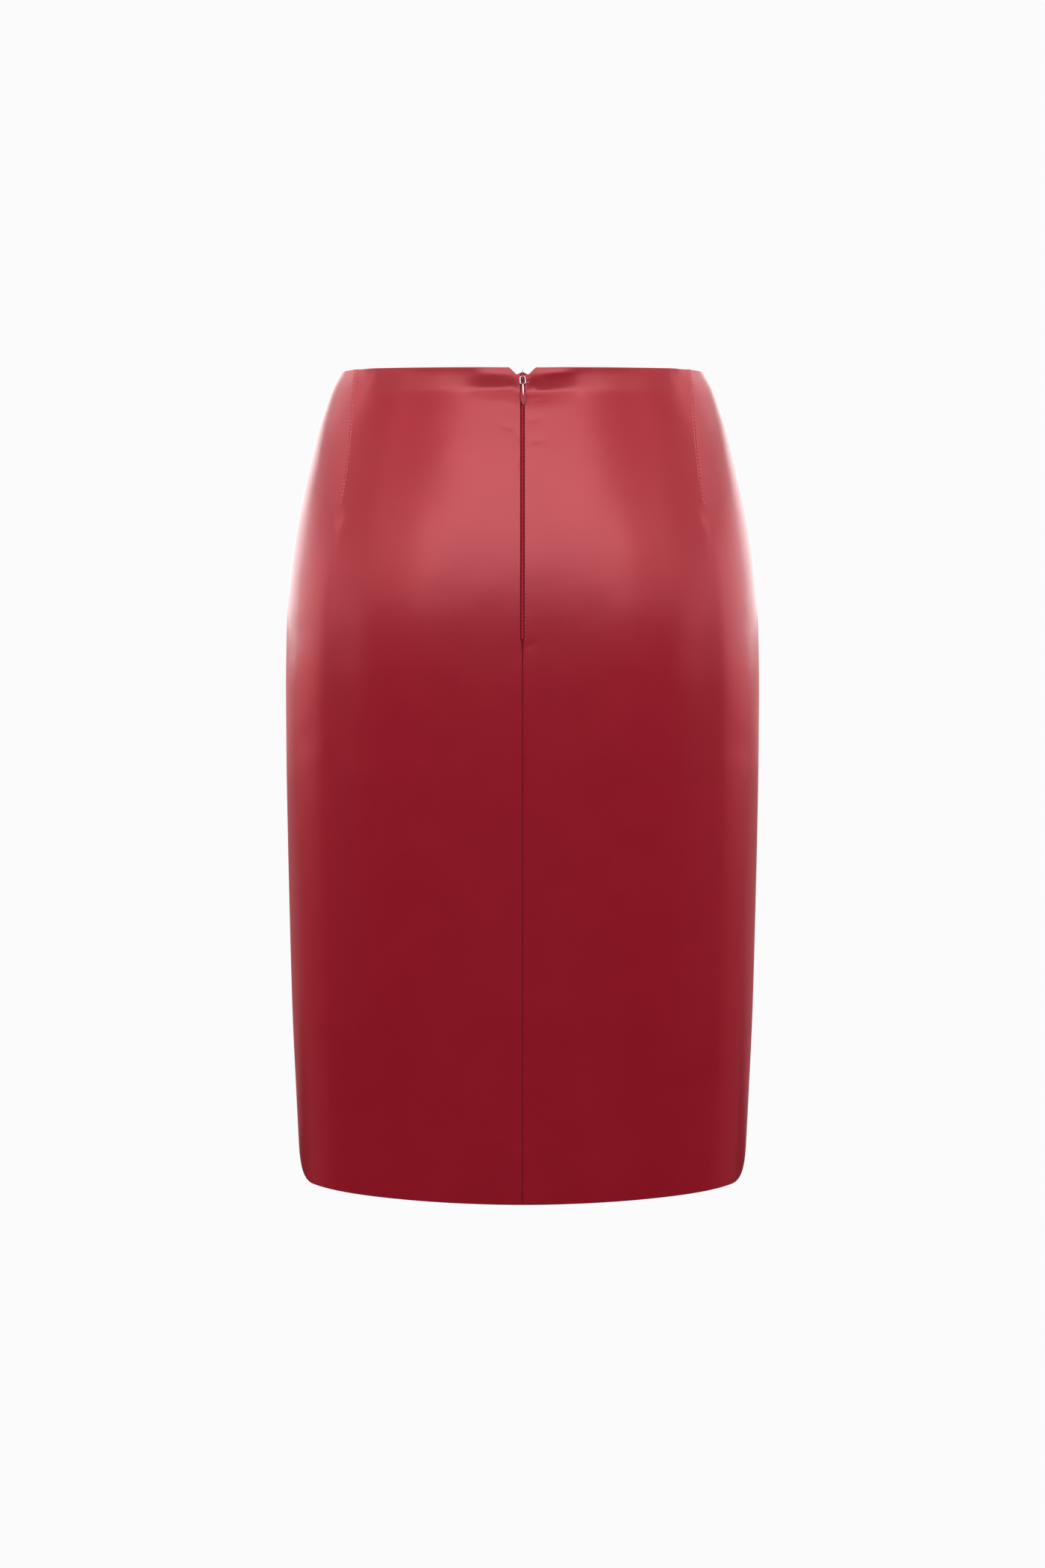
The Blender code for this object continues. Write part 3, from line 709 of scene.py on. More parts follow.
def panel(name, half, side, materials, whole=False):
    """A leather panel as a closed shell whose edges are rounded over their turned thickness."""
    top, right, bottom, left, darts, shares = panel_outline(half, whole)
    loop = np.concatenate([top, right[1:], bottom[-2::-1], left[-2:0:-1]])
    mitres = inward_mitres(loop)
    ends = np.cumsum([len(top), len(right) - 1, len(bottom) - 1, len(left) - 2])
    count = len(loop)
    places = np.arange(count)
    sewn = loop[:, 1] < CORNER_START
    right_seam = (places >= ends[0] - 1) & (places < ends[1]) & sewn
    left_seam = (places >= ends[2] - 1) & (sewn | (not whole))
    kinds = np.where(right_seam | left_seam, SEAM_ROUND, FREE_ROUND)
    inner_loop = loop + mitres * BORDER[-1]
    new_top = inner_loop[: ends[0]]
    new_right = inner_loop[ends[0] - 1 : ends[1]]
    new_bottom = inner_loop[ends[1] - 1 : ends[2]][::-1]
    new_left = np.concatenate([inner_loop[ends[2] - 1 :], inner_loop[:1]])[::-1]
    grid = follow_darts(coons(new_top, new_right, new_bottom, new_left, shares), half, darts)

    rows, columns = grid.shape[:2]
    widths = BORDER[:-1]
    flat = np.concatenate([*(loop + mitres * width for width in widths), grid.reshape(-1, 2)])
    border = len(widths)
    rounding = [1 - np.sqrt(1 - (1 - np.minimum(width / kinds, 1.0)) ** 2) for width in widths]
    rounding = np.concatenate([*rounding, np.zeros(rows * columns)])
    arcs, drops = flat[:, 0] * side, flat[:, 1]
    middle = -TURNED_THICKNESS / 2
    outer = skin(half, arcs, drops, middle * rounding)
    inner = skin(half, arcs, drops, -WALL + (middle + WALL) * rounding)

    first = border * count
    rim = rim_of(rows, columns, first)
    faces = grid_faces(rows, columns, True, first)
    slots = [0] * len(faces)
    for ring in range(border):
        for place in range(count):
            # A seam's first border rings take the third material, which is painted shade
            slots.append(2 if ring < SEAM_SHADE_RINGS and kinds[place] == SEAM_ROUND else 0)
            after = (place + 1) % count
            near, far = ring * count + place, ring * count + after
            if ring == border - 1:
                faces.append((near, rim[place], rim[after], far))
            else:
                faces.append((near, near + count, far + count, far))
    turned = (side < 0) != (half == "front")
    shift = len(flat) - count  # the two faces share the points along the outline
    lining = [tuple(c if c < count else c + shift for c in face) for face in faces]
    outside = [face[::-1] for face in faces] if turned else faces
    inside = lining if turned else [face[::-1] for face in lining]
    build = Build()
    build.add(np.concatenate([outer, inner[count:]]), outside + inside)
    build.slots = slots + [1] * len(inside)
    turned_edges(build, half, side, loop, mitres, ends, whole, turned)
    return build.object(name, materials)


# Places across a turned edge in millimetres from the outline, without the last two, and the share
# of its thickness at each place
TURNED_OFFSETS = (0.0, 0.1, 0.3, 0.6, 1.0, 4.0)
TURNED_SHARES = np.array([0.0, 0.45, 0.75, 0.94, 1.0, 1.0, 0.9, 0.35])


def turned_edges(build, half, side, loop, mitres, ends, whole, flip):
    """The leather that is turned in along a panel's edges, glued flat against its inside."""
    count = len(loop)
    waist = np.arange(0, ends[0])
    if not whole:
        waist = waist[loop[waist, 0] > TAPE_HALF_WIDTH + 0.4 * MM]
    edges = [(waist, TURNED_WIDTH)]
    right = ends[0] - 1 + np.arange(ends[1] - ends[0] + 1)
    hem = np.arange(ends[1] - 1, ends[2])
    corner = right[loop[right, 1] >= CORNER_START]
    edges.append((right[loop[right, 1] < CORNER_START + MM], ALLOWANCE_WIDTH))
    centre = np.arange(ends[2] - 1, count)
    if whole:
        other_corner = centre[loop[centre, 1] >= CORNER_START]
        edges.append((np.concatenate([corner, hem[1:], other_corner[1:]]), TURNED_WIDTH))
        edges.append((centre[loop[centre, 1] < CORNER_START + MM], ALLOWANCE_WIDTH))
    else:
        edges.append((np.concatenate([corner, hem[1:]]), TURNED_WIDTH))
        edges.append((centre[loop[centre, 1] > TAPE_END + 2 * MM], ALLOWANCE_WIDTH))
    layer = TURNED_THICKNESS - WALL
    for places, width in edges:
        line, normals = loop[places], mitres[places]
        offsets = np.array([*TURNED_OFFSETS, width / MM - 0.25, width / MM]) * MM
        offsets[0] -= SEAM_PRESSED if width == ALLOWANCE_WIDTH else 0.0
        flat = line[:, None, :] + normals[:, None, :] * offsets[None, :, None]
        arcs, drops = flat[..., 0] * side, flat[..., 1]
        middle = -TURNED_THICKNESS / 2
        hidden = skin(half, arcs, drops, middle - 0.05 * MM)
        rounded, lying = middle + middle * TURNED_SHARES, -WALL - layer * TURNED_SHARES
        depth = np.where(offsets <= MM, rounded, lying)
        shown = skin(half, arcs, drops, depth[None, :])
        slab(build, hidden, shown, flip)


# ---- thread


# A stitch along its length: where its rings lie, how thick they are and how high they rise
STITCH_PLACES = np.array([-0.5, -0.42, -0.22, 0.0, 0.22, 0.42, 0.5])
STITCH_SIZES = np.array([0.30, 0.75, 1.0, 1.0, 1.0, 0.75, 0.30])
STITCH_RISES = np.array([-1.0, -0.3, 0.35, 0.55, 0.35, -0.3, -1.0])
STITCH_SIDES = 6


def thread_row(build, half, line, pitch, length, radius, sink, slant=0.0):
    """Stitches along a line of (arc, drop): short bowed bits of thread that dip in at both ends."""
    turns = np.linspace(0, 2 * math.pi, STITCH_SIDES, endpoint=False)[None, :, None]
    for centre in np.arange(pitch / 2, line_length(line) - pitch / 2, pitch):
        flat = along(line, centre + STITCH_PLACES * length)
        flat[:, 0] += STITCH_PLACES * slant
        arcs, drops = flat[:, 0], flat[:, 1]
        middle = skin(half, arcs, drops, STITCH_RISES * radius - sink)
        normal = outward(half, arcs, drops)
        beside = np.cross(unit(np.gradient(middle, axis=0)), normal)
        across = np.cos(turns) * normal[:, None] + np.sin(turns) * beside[:, None]
        points = middle[:, None] + across * (radius * STITCH_SIZES)[:, None, None]
        build.add(points, tube_faces(len(STITCH_PLACES), STITCH_SIDES, True))


LINE_POINTS = 200


def column_line(arc_of, top, end):
    """A line of (arc, drop) that runs down the leather."""
    drops = np.linspace(top, end, LINE_POINTS)
    return np.stack([arc_of(drops), drops], axis=-1)


# ---- materials


class Finish:
    """A new material on a Principled shader, with short ways to add its nodes."""

    def __init__(self, name):
        self.material = bpy.data.materials.new(name)
        self.material.use_nodes = True
        self.tree = self.material.node_tree
        self.where = self.node("TexCoord", {}).outputs["Object"]

    def fit(self, sockets, inputs):
        """Links each input to another node's output, or sets it to a number or colour."""
        for name, value in inputs.items():
            if isinstance(value, bpy.types.NodeSocket):
                self.tree.links.new(value, sockets[name])
            else:
                sockets[name].default_value = value

    def node(self, kind, inputs, **settings):
        node = self.tree.nodes.new("ShaderNode" + kind)
        for name, value in settings.items():
            setattr(node, name, value)
        self.fit(node.inputs, inputs)
        return node

    def noise(self, scale, detail=2.0, roughness=0.5, distortion=0.0):
        inputs = {"Vector": self.where, "Scale": scale, "Detail": detail, "Roughness": roughness}
        return self.node("TexNoise", {**inputs, "Distortion": distortion}).outputs["Fac"]

    def wave(self, scale, direction="DIAGONAL", distortion=0.0):
        inputs = {"Vector": self.where, "Scale": scale, "Distortion": distortion}
        return self.node("TexWave", inputs, bands_direction=direction).outputs["Fac"]

    def remap(self, value, low, high, new_low=0.0, new_high=1.0):
        inputs = {"Value": value, "From Min": low, "From Max": high}
        inputs = {**inputs, "To Min": new_low, "To Max": new_high}
        return self.node("MapRange", inputs).outputs["Result"]

    def blend(self, share, one, other):
        inputs = {"Factor": share, "A": one, "B": other}
        return self.node("Mix", inputs, data_type="RGBA").outputs["Result"]

    def bump(self, height, distance, strength, below=None):
        inputs = {"Height": height, "Distance": distance, "Strength": strength}
        if below:
            inputs["Normal"] = below
        return self.node("Bump", inputs).outputs["Normal"]

    def shade(self, inputs):
        """Gives the shader its inputs and hands the finished material over."""
        self.fit(self.tree.nodes["Principled BSDF"].inputs, inputs)
        return self.material


LEATHER_DEEP = (0.283, 0.0066, 0.0180, 1)
LEATHER_LIGHT = (0.309, 0.0084, 0.0212, 1)
# Cycles' denoiser takes gloss below about 0.274 for a mirror, and a range on both sides of that
# comes out in blotches, so both ends stay below it.
LEATHER_ROUGH = (0.246, 0.270)
LEATHER_METALLIC = 0.22
# Painted shade: the dark colours of a seam's edges down in its gap and beside the zip
SEAM_SHADE_COLOURS = (0.11, 0.0025, 0.008, 1), (0.17, 0.0040, 0.011, 1)


def leather_material():
    """Smooth aniline-dyed nappa: clouded red, fine pores and creases, a satin shine."""
    finish = Finish("red_leather")
    clouds = finish.remap(finish.noise(26.0, 4.0, 0.55), 0.15, 0.85)
    patches = finish.remap(finish.noise(60.0, 3.0, 0.6), 0.15, 0.85, *LEATHER_ROUGH)
    inputs = {"Vector": finish.where, "Scale": 900.0}
    cells = finish.node("TexVoronoi", inputs, feature="DISTANCE_TO_EDGE").outputs["Distance"]
    normal = finish.bump(finish.noise(260.0, 3.0, 0.6, 0.6), 0.10 * MM, 0.15)
    normal = finish.bump(finish.remap(cells, 0.0, 0.16), 0.030 * MM, 0.14, normal)
    normal = finish.bump(finish.noise(500.0), 0.06 * MM, 0.15, normal)
    return finish.shade({
        "Base Color": finish.blend(clouds, LEATHER_DEEP, LEATHER_LIGHT),
        "Roughness": patches,
        "Normal": finish.bump(finish.noise(2600.0), 0.02 * MM, 0.08, normal),
        "Metallic": LEATHER_METALLIC,
    })


def seam_shade_material():
    """The leather's pressed edge inside a seam or beside the zip, where no shine reaches: painted
    shade, much darker than the leather.
    """
    finish = Finish("seam_edge_shade")
    wear = finish.noise(900.0, 3.0)
    return finish.shade({
        "Base Color": finish.blend(wear, *SEAM_SHADE_COLOURS),
        "Roughness": finish.remap(wear, 0.3, 0.7, 0.55, 0.75),
        "Normal": finish.bump(wear, 0.05 * MM, 0.3),
        "Specular IOR Level": 0.15,
    })


def suede_material():
    """The leather's flesh side: a dull nap, blotched where it has been rubbed."""
    finish = Finish("flesh_side")
    blotches = finish.remap(finish.noise(40.0, 4.0, 0.6), 0.3, 0.7)
    return finish.shade({
        "Base Color": finish.blend(blotches, (0.20, 0.022, 0.032, 1), (0.27, 0.036, 0.048, 1)),
        "Roughness": 0.95,
        "Normal": finish.bump(finish.noise(1500.0, 4.0, 0.7), 0.25 * MM, 0.7),
        "Sheen Weight": 0.3,
        "Sheen Roughness": 0.5,
        "Sheen Tint": (0.8, 0.35, 0.38, 1),
    })


def thread_material(name, deep, light, sheen=0.2, specular=0.5):
    """Twisted sewing thread."""
    finish = Finish(name)
    strands = finish.wave(2200.0, distortion=1.5)
    return finish.shade({
        "Base Color": finish.blend(strands, deep, light),
        "Roughness": 0.5,
        "Normal": finish.bump(strands, 0.05 * MM, 0.6),
        "Sheen Weight": sheen,
        "Specular IOR Level": specular,
    })


def tape_material():
    """Fine twill tape, woven on a slant."""
    finish = Finish("zip_tape_weave")
    waves = {0: finish.wave(620.0), 1: finish.wave(800.0, "Z")}
    weave = finish.node("Math", waves, operation="MULTIPLY").outputs[0]
    return finish.shade({
        "Base Color": finish.blend(weave, (0.20, 0.006, 0.014, 1), (0.30, 0.012, 0.024, 1)),
        "Roughness": 0.8,
        "Normal": finish.bump(weave, 0.12 * MM, 0.7),
        "Sheen Weight": 0.15,
        "Specular IOR Level": 0.1,
    })


def enamel_material(name, deep, light, roughness, coat, specular, metallic=0.0):
    """Dyed nylon or enamel, slightly clouded and worn."""
    finish = Finish(name)
    wear = finish.noise(1400.0, 3.0)
    return finish.shade({
        "Base Color": finish.blend(finish.noise(700.0), deep, light),
        "Roughness": finish.remap(wear, 0.3, 0.8, roughness, roughness + 0.12),
        "Normal": finish.bump(finish.noise(900.0, 1.0), 0.02 * MM, 0.3),
        "Coat Weight": coat,
        "Coat Roughness": 0.08,
        "Specular IOR Level": specular,
        "Metallic": metallic,
    })


def silver_material():
    """Polished metal with fine scuffs."""
    finish = Finish("polished_silver")
    scuffs = finish.noise(2500.0, 3.0)
    return finish.shade({
        "Base Color": finish.blend(scuffs, (0.78, 0.74, 0.74, 1), (0.92, 0.88, 0.88, 1)),
        "Roughness": finish.remap(scuffs, 0.3, 0.8, 0.16, 0.30),
        "Metallic": 1.0,
    })


leather = leather_material()
seam_edge_shade = seam_shade_material()
flesh_side = suede_material()
thread = thread_material("red_thread", (0.46, 0.09, 0.11, 1), (0.70, 0.25, 0.27, 1))
seam_thread = thread_material(
    "seam_thread", (0.20, 0.005, 0.014, 1), (0.30, 0.010, 0.024, 1), sheen=0.0, specular=0.1
)
grey_thread = thread_material("grey_thread", (0.07, 0.035, 0.05, 1), (0.14, 0.08, 0.10, 1))
tape_cloth = tape_material()
# Each with its deep and light colour, roughness, coat, specular level and metal
coil_nylon = enamel_material(
    "dyed_nylon", (0.40, 0.016, 0.034, 1), (0.50, 0.026, 0.048, 1), 0.45, 0.0, 0.12
)
slider_enamel = enamel_material(
    "slider_enamel", (0.16, 0.010, 0.020, 1), (0.20, 0.014, 0.026, 1), 0.30, 0.2, 0.3
)
pull_enamel = enamel_material(
    "pull_enamel", (0.22, 0.009, 0.026, 1), (0.26, 0.012, 0.031, 1), 0.24, 0.0, 0.22
)
# Painted highlight: pale pink, glossy and partly metallic, for the streak down the pull's crest
crest_highlight = enamel_material(
    "crest_highlight", (0.85, 0.52, 0.55, 1), (0.92, 0.62, 0.64, 1), 0.20, 0.5, 0.5, 0.7
)
bright_silver = silver_material()

# ---- the leather panels

LEATHERS = [leather, flesh_side, seam_edge_shade]  # outside, inside, and the painted shade on the seams' edges
front = panel("front_leather", "front", 1, LEATHERS, whole=True)
back_left = panel("back_left_leather", "back", 1, LEATHERS)
back_right = panel("back_right_leather", "back", -1, LEATHERS)
for piece, node in ((front, "front"), (back_left, "back_left"), (back_right, "back_right")):
    declare(piece, node)

# ---- stitches

# Pitch, length and thread radius of the stitches at a dart, beside the zip and below it
DART_STITCH = (2.7 * MM, 1.7 * MM, 0.15 * MM)
ZIP_STITCH = (2.7 * MM, 1.5 * MM, 0.14 * MM)
SEAM_STITCH = (2.7 * MM, 1.7 * MM, 0.30 * MM)
DART_STITCH_SPLIT = 1.7 * MM  # how far apart the two rows are at the middle of a dart
DART_STITCH_CLOSE = 0.35 * MM  # and at its ends


def dart_stitches(name, half, side):
    """Two rows of stitches that part beside the sewn line and meet again at its ends."""
    build = Build()
    length = DARTS[half].length
    for row in (-0.5, 0.5):

        def arc_of(drops, row=row):
            bow = np.sin(math.pi * np.clip(drops / length, 0, 1))
            apart = DART_STITCH_SPLIT * bow + DART_STITCH_CLOSE
            return side * (dart_arc(half, drops) + row * apart)

        line = column_line(arc_of, 1.5 * MM, length - 0.5 * MM)
        thread_row(build, half, line, *DART_STITCH, sink=0.02 * MM)
    return build.object(name, [thread])


for half in ("back", "front"):
    for side, hand in ((1, "left"), (-1, "right")):
        declare(dart_stitches(f"dart_stitches_{half}_{hand}", half, side))

build = Build()
below_zip = column_line(
    lambda drops: np.full_like(drops, -0.10 * MM), ZIP_DROP + 2 * MM, HEM_DROP - 4 * MM
)
thread_row(build, "back", below_zip, *SEAM_STITCH, sink=0.20 * MM, slant=0.35 * MM)
build.slots = [1] * len(build.slots)
beside_zip = column_line(lambda drops: -zip_edge(drops) - 0.55 * MM, 24 * MM, ZIP_DROP - 2 * MM)
thread_row(build, "back", beside_zip, *ZIP_STITCH, sink=0.06 * MM)
declare(build.object("centre_back_stitches", [thread, seam_thread]))

# ---- the zip's tapes and coil


def tape_points(side, height):
    """A face of one tape: sloped at its top end, and parted from the other round the slider."""
    shares = np.concatenate([np.linspace(0, 0.1, 26), np.linspace(0.1, 1, 90)[1:]])[:, None]
    columns = np.linspace(0, 1, 15)[None, :]
    stem_top, stem_end = PIVOT_DROP - STEM_TOP, PIVOT_DROP - STEM_END
    parting = (stem_top - 0.3 * MM, stem_top + 0.9 * MM, stem_end, stem_end + TAPE_CLOSING)
    middle = TAPE_TOP + (TAPE_END - TAPE_TOP) * shares
    inner = np.interp(middle, parting, (TAPE_SHUT, TAPE_SPREAD, TAPE_SPREAD, TAPE_SHUT))
    arcs = inner + (TAPE_HALF_WIDTH - inner) * columns
    top = np.minimum(TAPE_TOP + TAPE_TOP_SLOPE * arcs, NOTCH_DEPTH)
    drops = top + (TAPE_END - top) * shares
    return skin("back", side * arcs, drops, height)


def zip_tape(name, node, side):
    build = Build()
    face, back = -WALL - SEAM_GAP, -WALL - SEAM_GAP - TAPE_WALL
    slab(build, tape_points(side, face), tape_points(side, back), side < 0)
    tape = build.object(name, [tape_cloth])
    bevel = tape.modifiers.new("soft_edges", "BEVEL")
    bevel.width = 0.12 * MM
    bevel.segments = 2
    bevel.angle_limit = math.radians(60)
    declare(tape, node)


zip_tape("left_tape_weave", "zip_tape_left", 1)
zip_tape("right_tape_weave", "zip_tape_right", -1)

# A tooth's loop from its own tape up, over the middle and down: arc and height
TOOTH = np.array((
    (1.10, -1.45), (1.08, -0.95), (0.80, -0.64), (0.10, -0.57),
    (-0.42, -0.68), (-0.60, -1.05), (-0.50, -1.50),
)) * MM
TOOTH_PITCH = 1.27 * MM
TOOTH_RADIUS = 0.27 * MM
TOOTH_SIDES = 7


def coil():
    """Two rows of looped teeth that lock in turn down the middle of the gap."""
    build = Build()
    start, end = PIVOT_DROP - STEM_END + 1.3 * MM, ZIP_DROP - ZIP_TAPER
    count = int((end - start) / TOOTH_PITCH)
    for tooth in range(2 * count):
        side = 1 if tooth % 2 else -1
        drop = start + tooth / 2 * TOOTH_PITCH
        path = skin("back", side * TOOTH[:, 0], drop, TOOTH[:, 1])
        build.add(*tube(path, TOOTH_RADIUS, TOOTH_SIDES, (0.0, 0.0, 1.0)))
    return build.object("coil_teeth", [coil_nylon])


declare(coil(), "zip_chain")

# ---- the zip's slider and pull

PIVOT_NORMAL = outward("back", np.array(0.0), np.array(PIVOT_DROP))
PIVOT_PLACE = bare_points("back", 0.0, PIVOT_DROP) + PIVOT_NORMAL * PIVOT_HEIGHT
PIVOT_LEAN = math.atan2(PIVOT_NORMAL[2], PIVOT_NORMAL[1])
PIVOT_TURN = Euler((math.pi / 2 - PIVOT_LEAN, 0, math.pi))
# x runs across, y up the leather and z out of it
PIVOT = Matrix.Translation(PIVOT_PLACE) @ PIVOT_TURN.to_matrix().to_4x4()
HANG = PIVOT @ Euler((PULL_LEAN, 0, PULL_TILT)).to_matrix().to_4x4()

# The slider's outlines, across and up from the pivot, and its heights, all in millimetres
PLATE_OUTLINE = ((1.5, 1.8), (2.5, 1.2), (2.7, 0.2), (2.7, -3.6), (2.2, -5.6), (1.3, -6.6))
PLATE_FACE = -3.85
PLATE_THICKNESS = 1.0
PLATE_ROUND, STEM_ROUND, BRIDGE_ROUND = 0.28, 0.20, 0.16
LIP_RADIUS = 0.26
LIP_PATH = ((2.35, 1.0), (2.35, -3.8), (1.95, -5.5))
STEM_OUTLINE = ((0.0, 1.4), (0.62, 0.9), (0.9, 0.0), (0.9, -4.2), (0.55, -5.5), (0.0, -6.2))
STEM_FACE = -0.95
# On edge, down and out
BRIDGE_OUTLINE = (
    (-1.35, -1.2), (-1.36, -0.3), (-1.25, 0.35), (-0.95, 0.80), (-0.45, 1.06), (0.10, 1.15),
    (1.3, 1.13), (2.4, 1.0), (3.1, 0.78), (3.7, 0.38), (4.15, -0.15), (4.4, -0.7), (4.5, -1.2),
)
BRIDGE_HALF_WIDTH = 0.5
BRIDGE_HOLE = 0.68
# The pull, in millimetres from the pivot
LOOP_RADIUS = 1.8
LOOP_LENGTH = 5.6
LOOP_CORNER = 0.7
LOOP_WIRE = 0.33
TAB_START = 5.2
TAB_END = 21.6
# Along the tab: share of its length, then half its width, its crown's height or its streak of
# painted highlight
TAB_WIDTHS = (
    (0.0, 0.72), (0.10, 0.80), (0.25, 1.35), (0.42, 1.95), (0.58, 2.30), (0.74, 2.20), (0.88, 1.62),
    (0.965, 0.98), (1.0, 0.30),
)
TAB_CROWNS = ((0.0, 0.50), (0.15, 0.52), (0.35, 0.62), (0.6, 0.56), (0.85, 0.40), (1.0, 0.14))
TAB_BACK = 0.34
CREST_HIGHLIGHT = ((0.03, 0.06), (0.08, 0.30), (0.20, 0.40), (0.34, 0.33), (0.46, 0.16), (0.56, 0.03))
CREST_LIFT = 0.02


def placed(points, matrix):
    """Points in millimetres on a pivot's axes, taken to the frame."""
    rows = np.array(matrix)
    return np.asarray(points, float) * MM @ rows[:3, :3].T + rows[:3, 3]


def plate(build, outlines, low, high, rounding, on_edge=False):
    """A flat piece with rounded edges from closed outlines: the first is its edge, the rest holes.

    It lies between two heights. On edge, the outlines run down and out and the heights across.
    """
    curve = bpy.data.curves.new("outline", "CURVE")
    curve.dimensions = "2D"
    curve.fill_mode = "BOTH"
    curve.extrude = (high - low) / 2 - rounding
    curve.bevel_depth = rounding
    curve.bevel_resolution = 3
    curve.offset = -rounding
    for outline in outlines:
        spline = curve.splines.new("POLY")
        spline.points.add(len(outline) - 1)
        spline.use_cyclic_u = True
        for point, (x, y) in zip(spline.points, outline):
            point.co = (x, y, 0, 1)
    obj = bpy.data.objects.new("outline", curve)
    scene.collection.objects.link(obj)
    depsgraph = bpy.context.evaluated_depsgraph_get()
    mesh = bpy.data.meshes.new_from_object(obj.evaluated_get(depsgraph))
    points = np.array([vert.co for vert in mesh.vertices]) + (0, 0, (high + low) / 2)
    faces = [tuple(polygon.vertices) for polygon in mesh.polygons]
    if on_edge:
        points = np.stack([points[:, 2], -points[:, 0], points[:, 1]], axis=-1)
    build.add(placed(points, PIVOT), faces)
    bpy.data.objects.remove(obj)
    bpy.data.curves.remove(curve)
    bpy.data.meshes.remove(mesh)


def both_sides(outline):
    """An outline and its mirror image across the middle, in one closed line."""
    return list(outline) + [(-x, y) for x, y in reversed(outline) if x > 0]


def slider():
    """The plate with its lips behind the tapes, the stem between them and the bridge in front."""
    build = Build()
    heights = (PLATE_FACE - PLATE_THICKNESS, PLATE_FACE)
    plate(build, [both_sides(PLATE_OUTLINE)], *heights, PLATE_ROUND)
    for side in (-1, 1):
        path = np.array([(side * x, y, PLATE_FACE + 0.02) for x, y in LIP_PATH])
        build.add(*tube(placed(path, PIVOT), LIP_RADIUS * MM, 10, PIVOT_NORMAL))
    plate(build, [both_sides(STEM_OUTLINE)], PLATE_FACE - 0.5, STEM_FACE, STEM_ROUND)
    turns = np.linspace(0, 2 * math.pi, 28, endpoint=False)
    hole = [(BRIDGE_HOLE * math.cos(turn), BRIDGE_HOLE * math.sin(turn)) for turn in turns]
    halves = (-BRIDGE_HALF_WIDTH, BRIDGE_HALF_WIDTH)
    plate(build, [BRIDGE_OUTLINE, hole], *halves, BRIDGE_ROUND, on_edge=True)
    return build.object("slider_body", [slider_enamel])


def arc_points(centre_x, centre_y, radius, start, end, count):
    turns = np.linspace(start, end, count)
    return [(centre_x + radius * math.cos(t), centre_y + radius * math.sin(t), 0.0) for t in turns]


def loop_path():
    """The wire loop: an arch through the bridge, straight sides and a rounded square foot."""
    half_turn, inside, foot = math.pi, LOOP_RADIUS - LOOP_CORNER, LOOP_CORNER - LOOP_LENGTH
    return [
        *arc_points(0, -LOOP_RADIUS, LOOP_RADIUS, 0, half_turn, 25),
        *arc_points(-inside, foot, LOOP_CORNER, half_turn, 1.5 * half_turn, 7),
        *arc_points(inside, foot, LOOP_CORNER, 1.5 * half_turn, 2 * half_turn, 7),
    ]


def tab_row(table, shares):
    return on_curve(*np.array(table).T, shares)


def tab_drop(shares):
    return -TAB_START - (TAB_END - TAB_START) * shares


def tab(build):
    """The drop: crowned in front, nearly flat behind, with a small rounded end."""
    shares = 1 - (1 - np.linspace(0, 1, 49)) ** 1.15
    widths, crowns = tab_row(TAB_WIDTHS, shares)[:, None], tab_row(TAB_CROWNS, shares)[:, None]
    turns = np.linspace(0, 2 * math.pi, 80, endpoint=False)
    across = np.sign(np.cos(turns)) * np.abs(np.cos(turns)) ** 0.9
    out = np.where(np.sin(turns) > 0, np.abs(np.sin(turns)) ** 1.1, 0)
    back = np.where(np.sin(turns) < 0, np.abs(np.sin(turns)) ** 0.6, 0)
    heights = out * crowns - back * np.minimum(TAB_BACK, crowns)
    down = np.broadcast_to(tab_drop(shares)[:, None], heights.shape)
    points = np.stack([across * widths, down, heights], axis=-1)
    build.add(placed(points.reshape(-1, 3), HANG), tube_faces(len(shares), len(turns), True), 1)


def crest(build):
    """A narrow pale pink streak down the drop's crest: a painted highlight."""
    shares = np.linspace(CREST_HIGHLIGHT[0][0], CREST_HIGHLIGHT[-1][0], 40)
    widths, crowns = tab_row(TAB_WIDTHS, shares)[:, None], tab_row(TAB_CROWNS, shares)[:, None]
    across = np.linspace(-1, 1, 9)[None, :] * tab_row(CREST_HIGHLIGHT, shares)[:, None]
    out = crowns * (1 - (across / widths) ** 2) ** 0.55
    down = np.broadcast_to(tab_drop(shares)[:, None], across.shape)
    lifts = (CREST_LIFT, -CREST_LIFT)
    faces = [placed(np.stack([across, down, out + lift], axis=-1), HANG) for lift in lifts]
    # Slot 2 is the painted highlight
    slab(build, *faces, slot=2)


def pull():
    """The wire loop, the bar that closes the tab round its foot, the tab and the painted highlight
    on its crest.
    """
    build = Build()
    path = loop_path()
    build.add(*tube(placed(path + path[:2], HANG), LOOP_WIRE * MM, 14, PIVOT_NORMAL))
    bar = [(x, -LOOP_LENGTH, 0) for x in (-0.98, -0.9, -0.75, 0.75, 0.9, 0.98)]
    thick = np.array([0.30, 0.52, 0.60, 0.60, 0.52, 0.30]) * MM
    build.add(*tube(placed(bar, HANG), thick, 16, PIVOT_NORMAL), 1)
    tab(build)
    crest(build)
    return build.object("pull_drop", [bright_silver, pull_enamel, crest_highlight])


declare(slider(), "zip_slider")
declare(pull(), "zip_pull", "pull")

# ---- loose thread and puckers at the zip's top

# Ends of the pucker stitches, (arc, drop) twice, and points of the thread end, (arc, drop, height)
PUCKERS = (
    (-2.6, 8.1, -4.0, 7.1), (-4.6, 7.6, -5.7, 6.9),
    (-2.3, 11.0, -3.8, 10.5), (-4.0, 10.8, -5.0, 10.1),
)
THREAD_END = np.array((
    (0.5, 4.0, -1.35), (0.3, 3.0, -1.3), (0.1, 2.2, -1.3),
    (-0.2, 1.7, -1.2), (-0.7, 1.5, -1.1), (-1.0, 1.8, -1.0),
)) * MM
PUCKER_HEIGHTS = np.array([-0.12, 0.02, 0.09, 0.11, 0.09, 0.02, -0.12]) * MM
PUCKER_RADII = np.array([0.06, 0.19, 0.25, 0.25, 0.25, 0.19, 0.06]) * MM

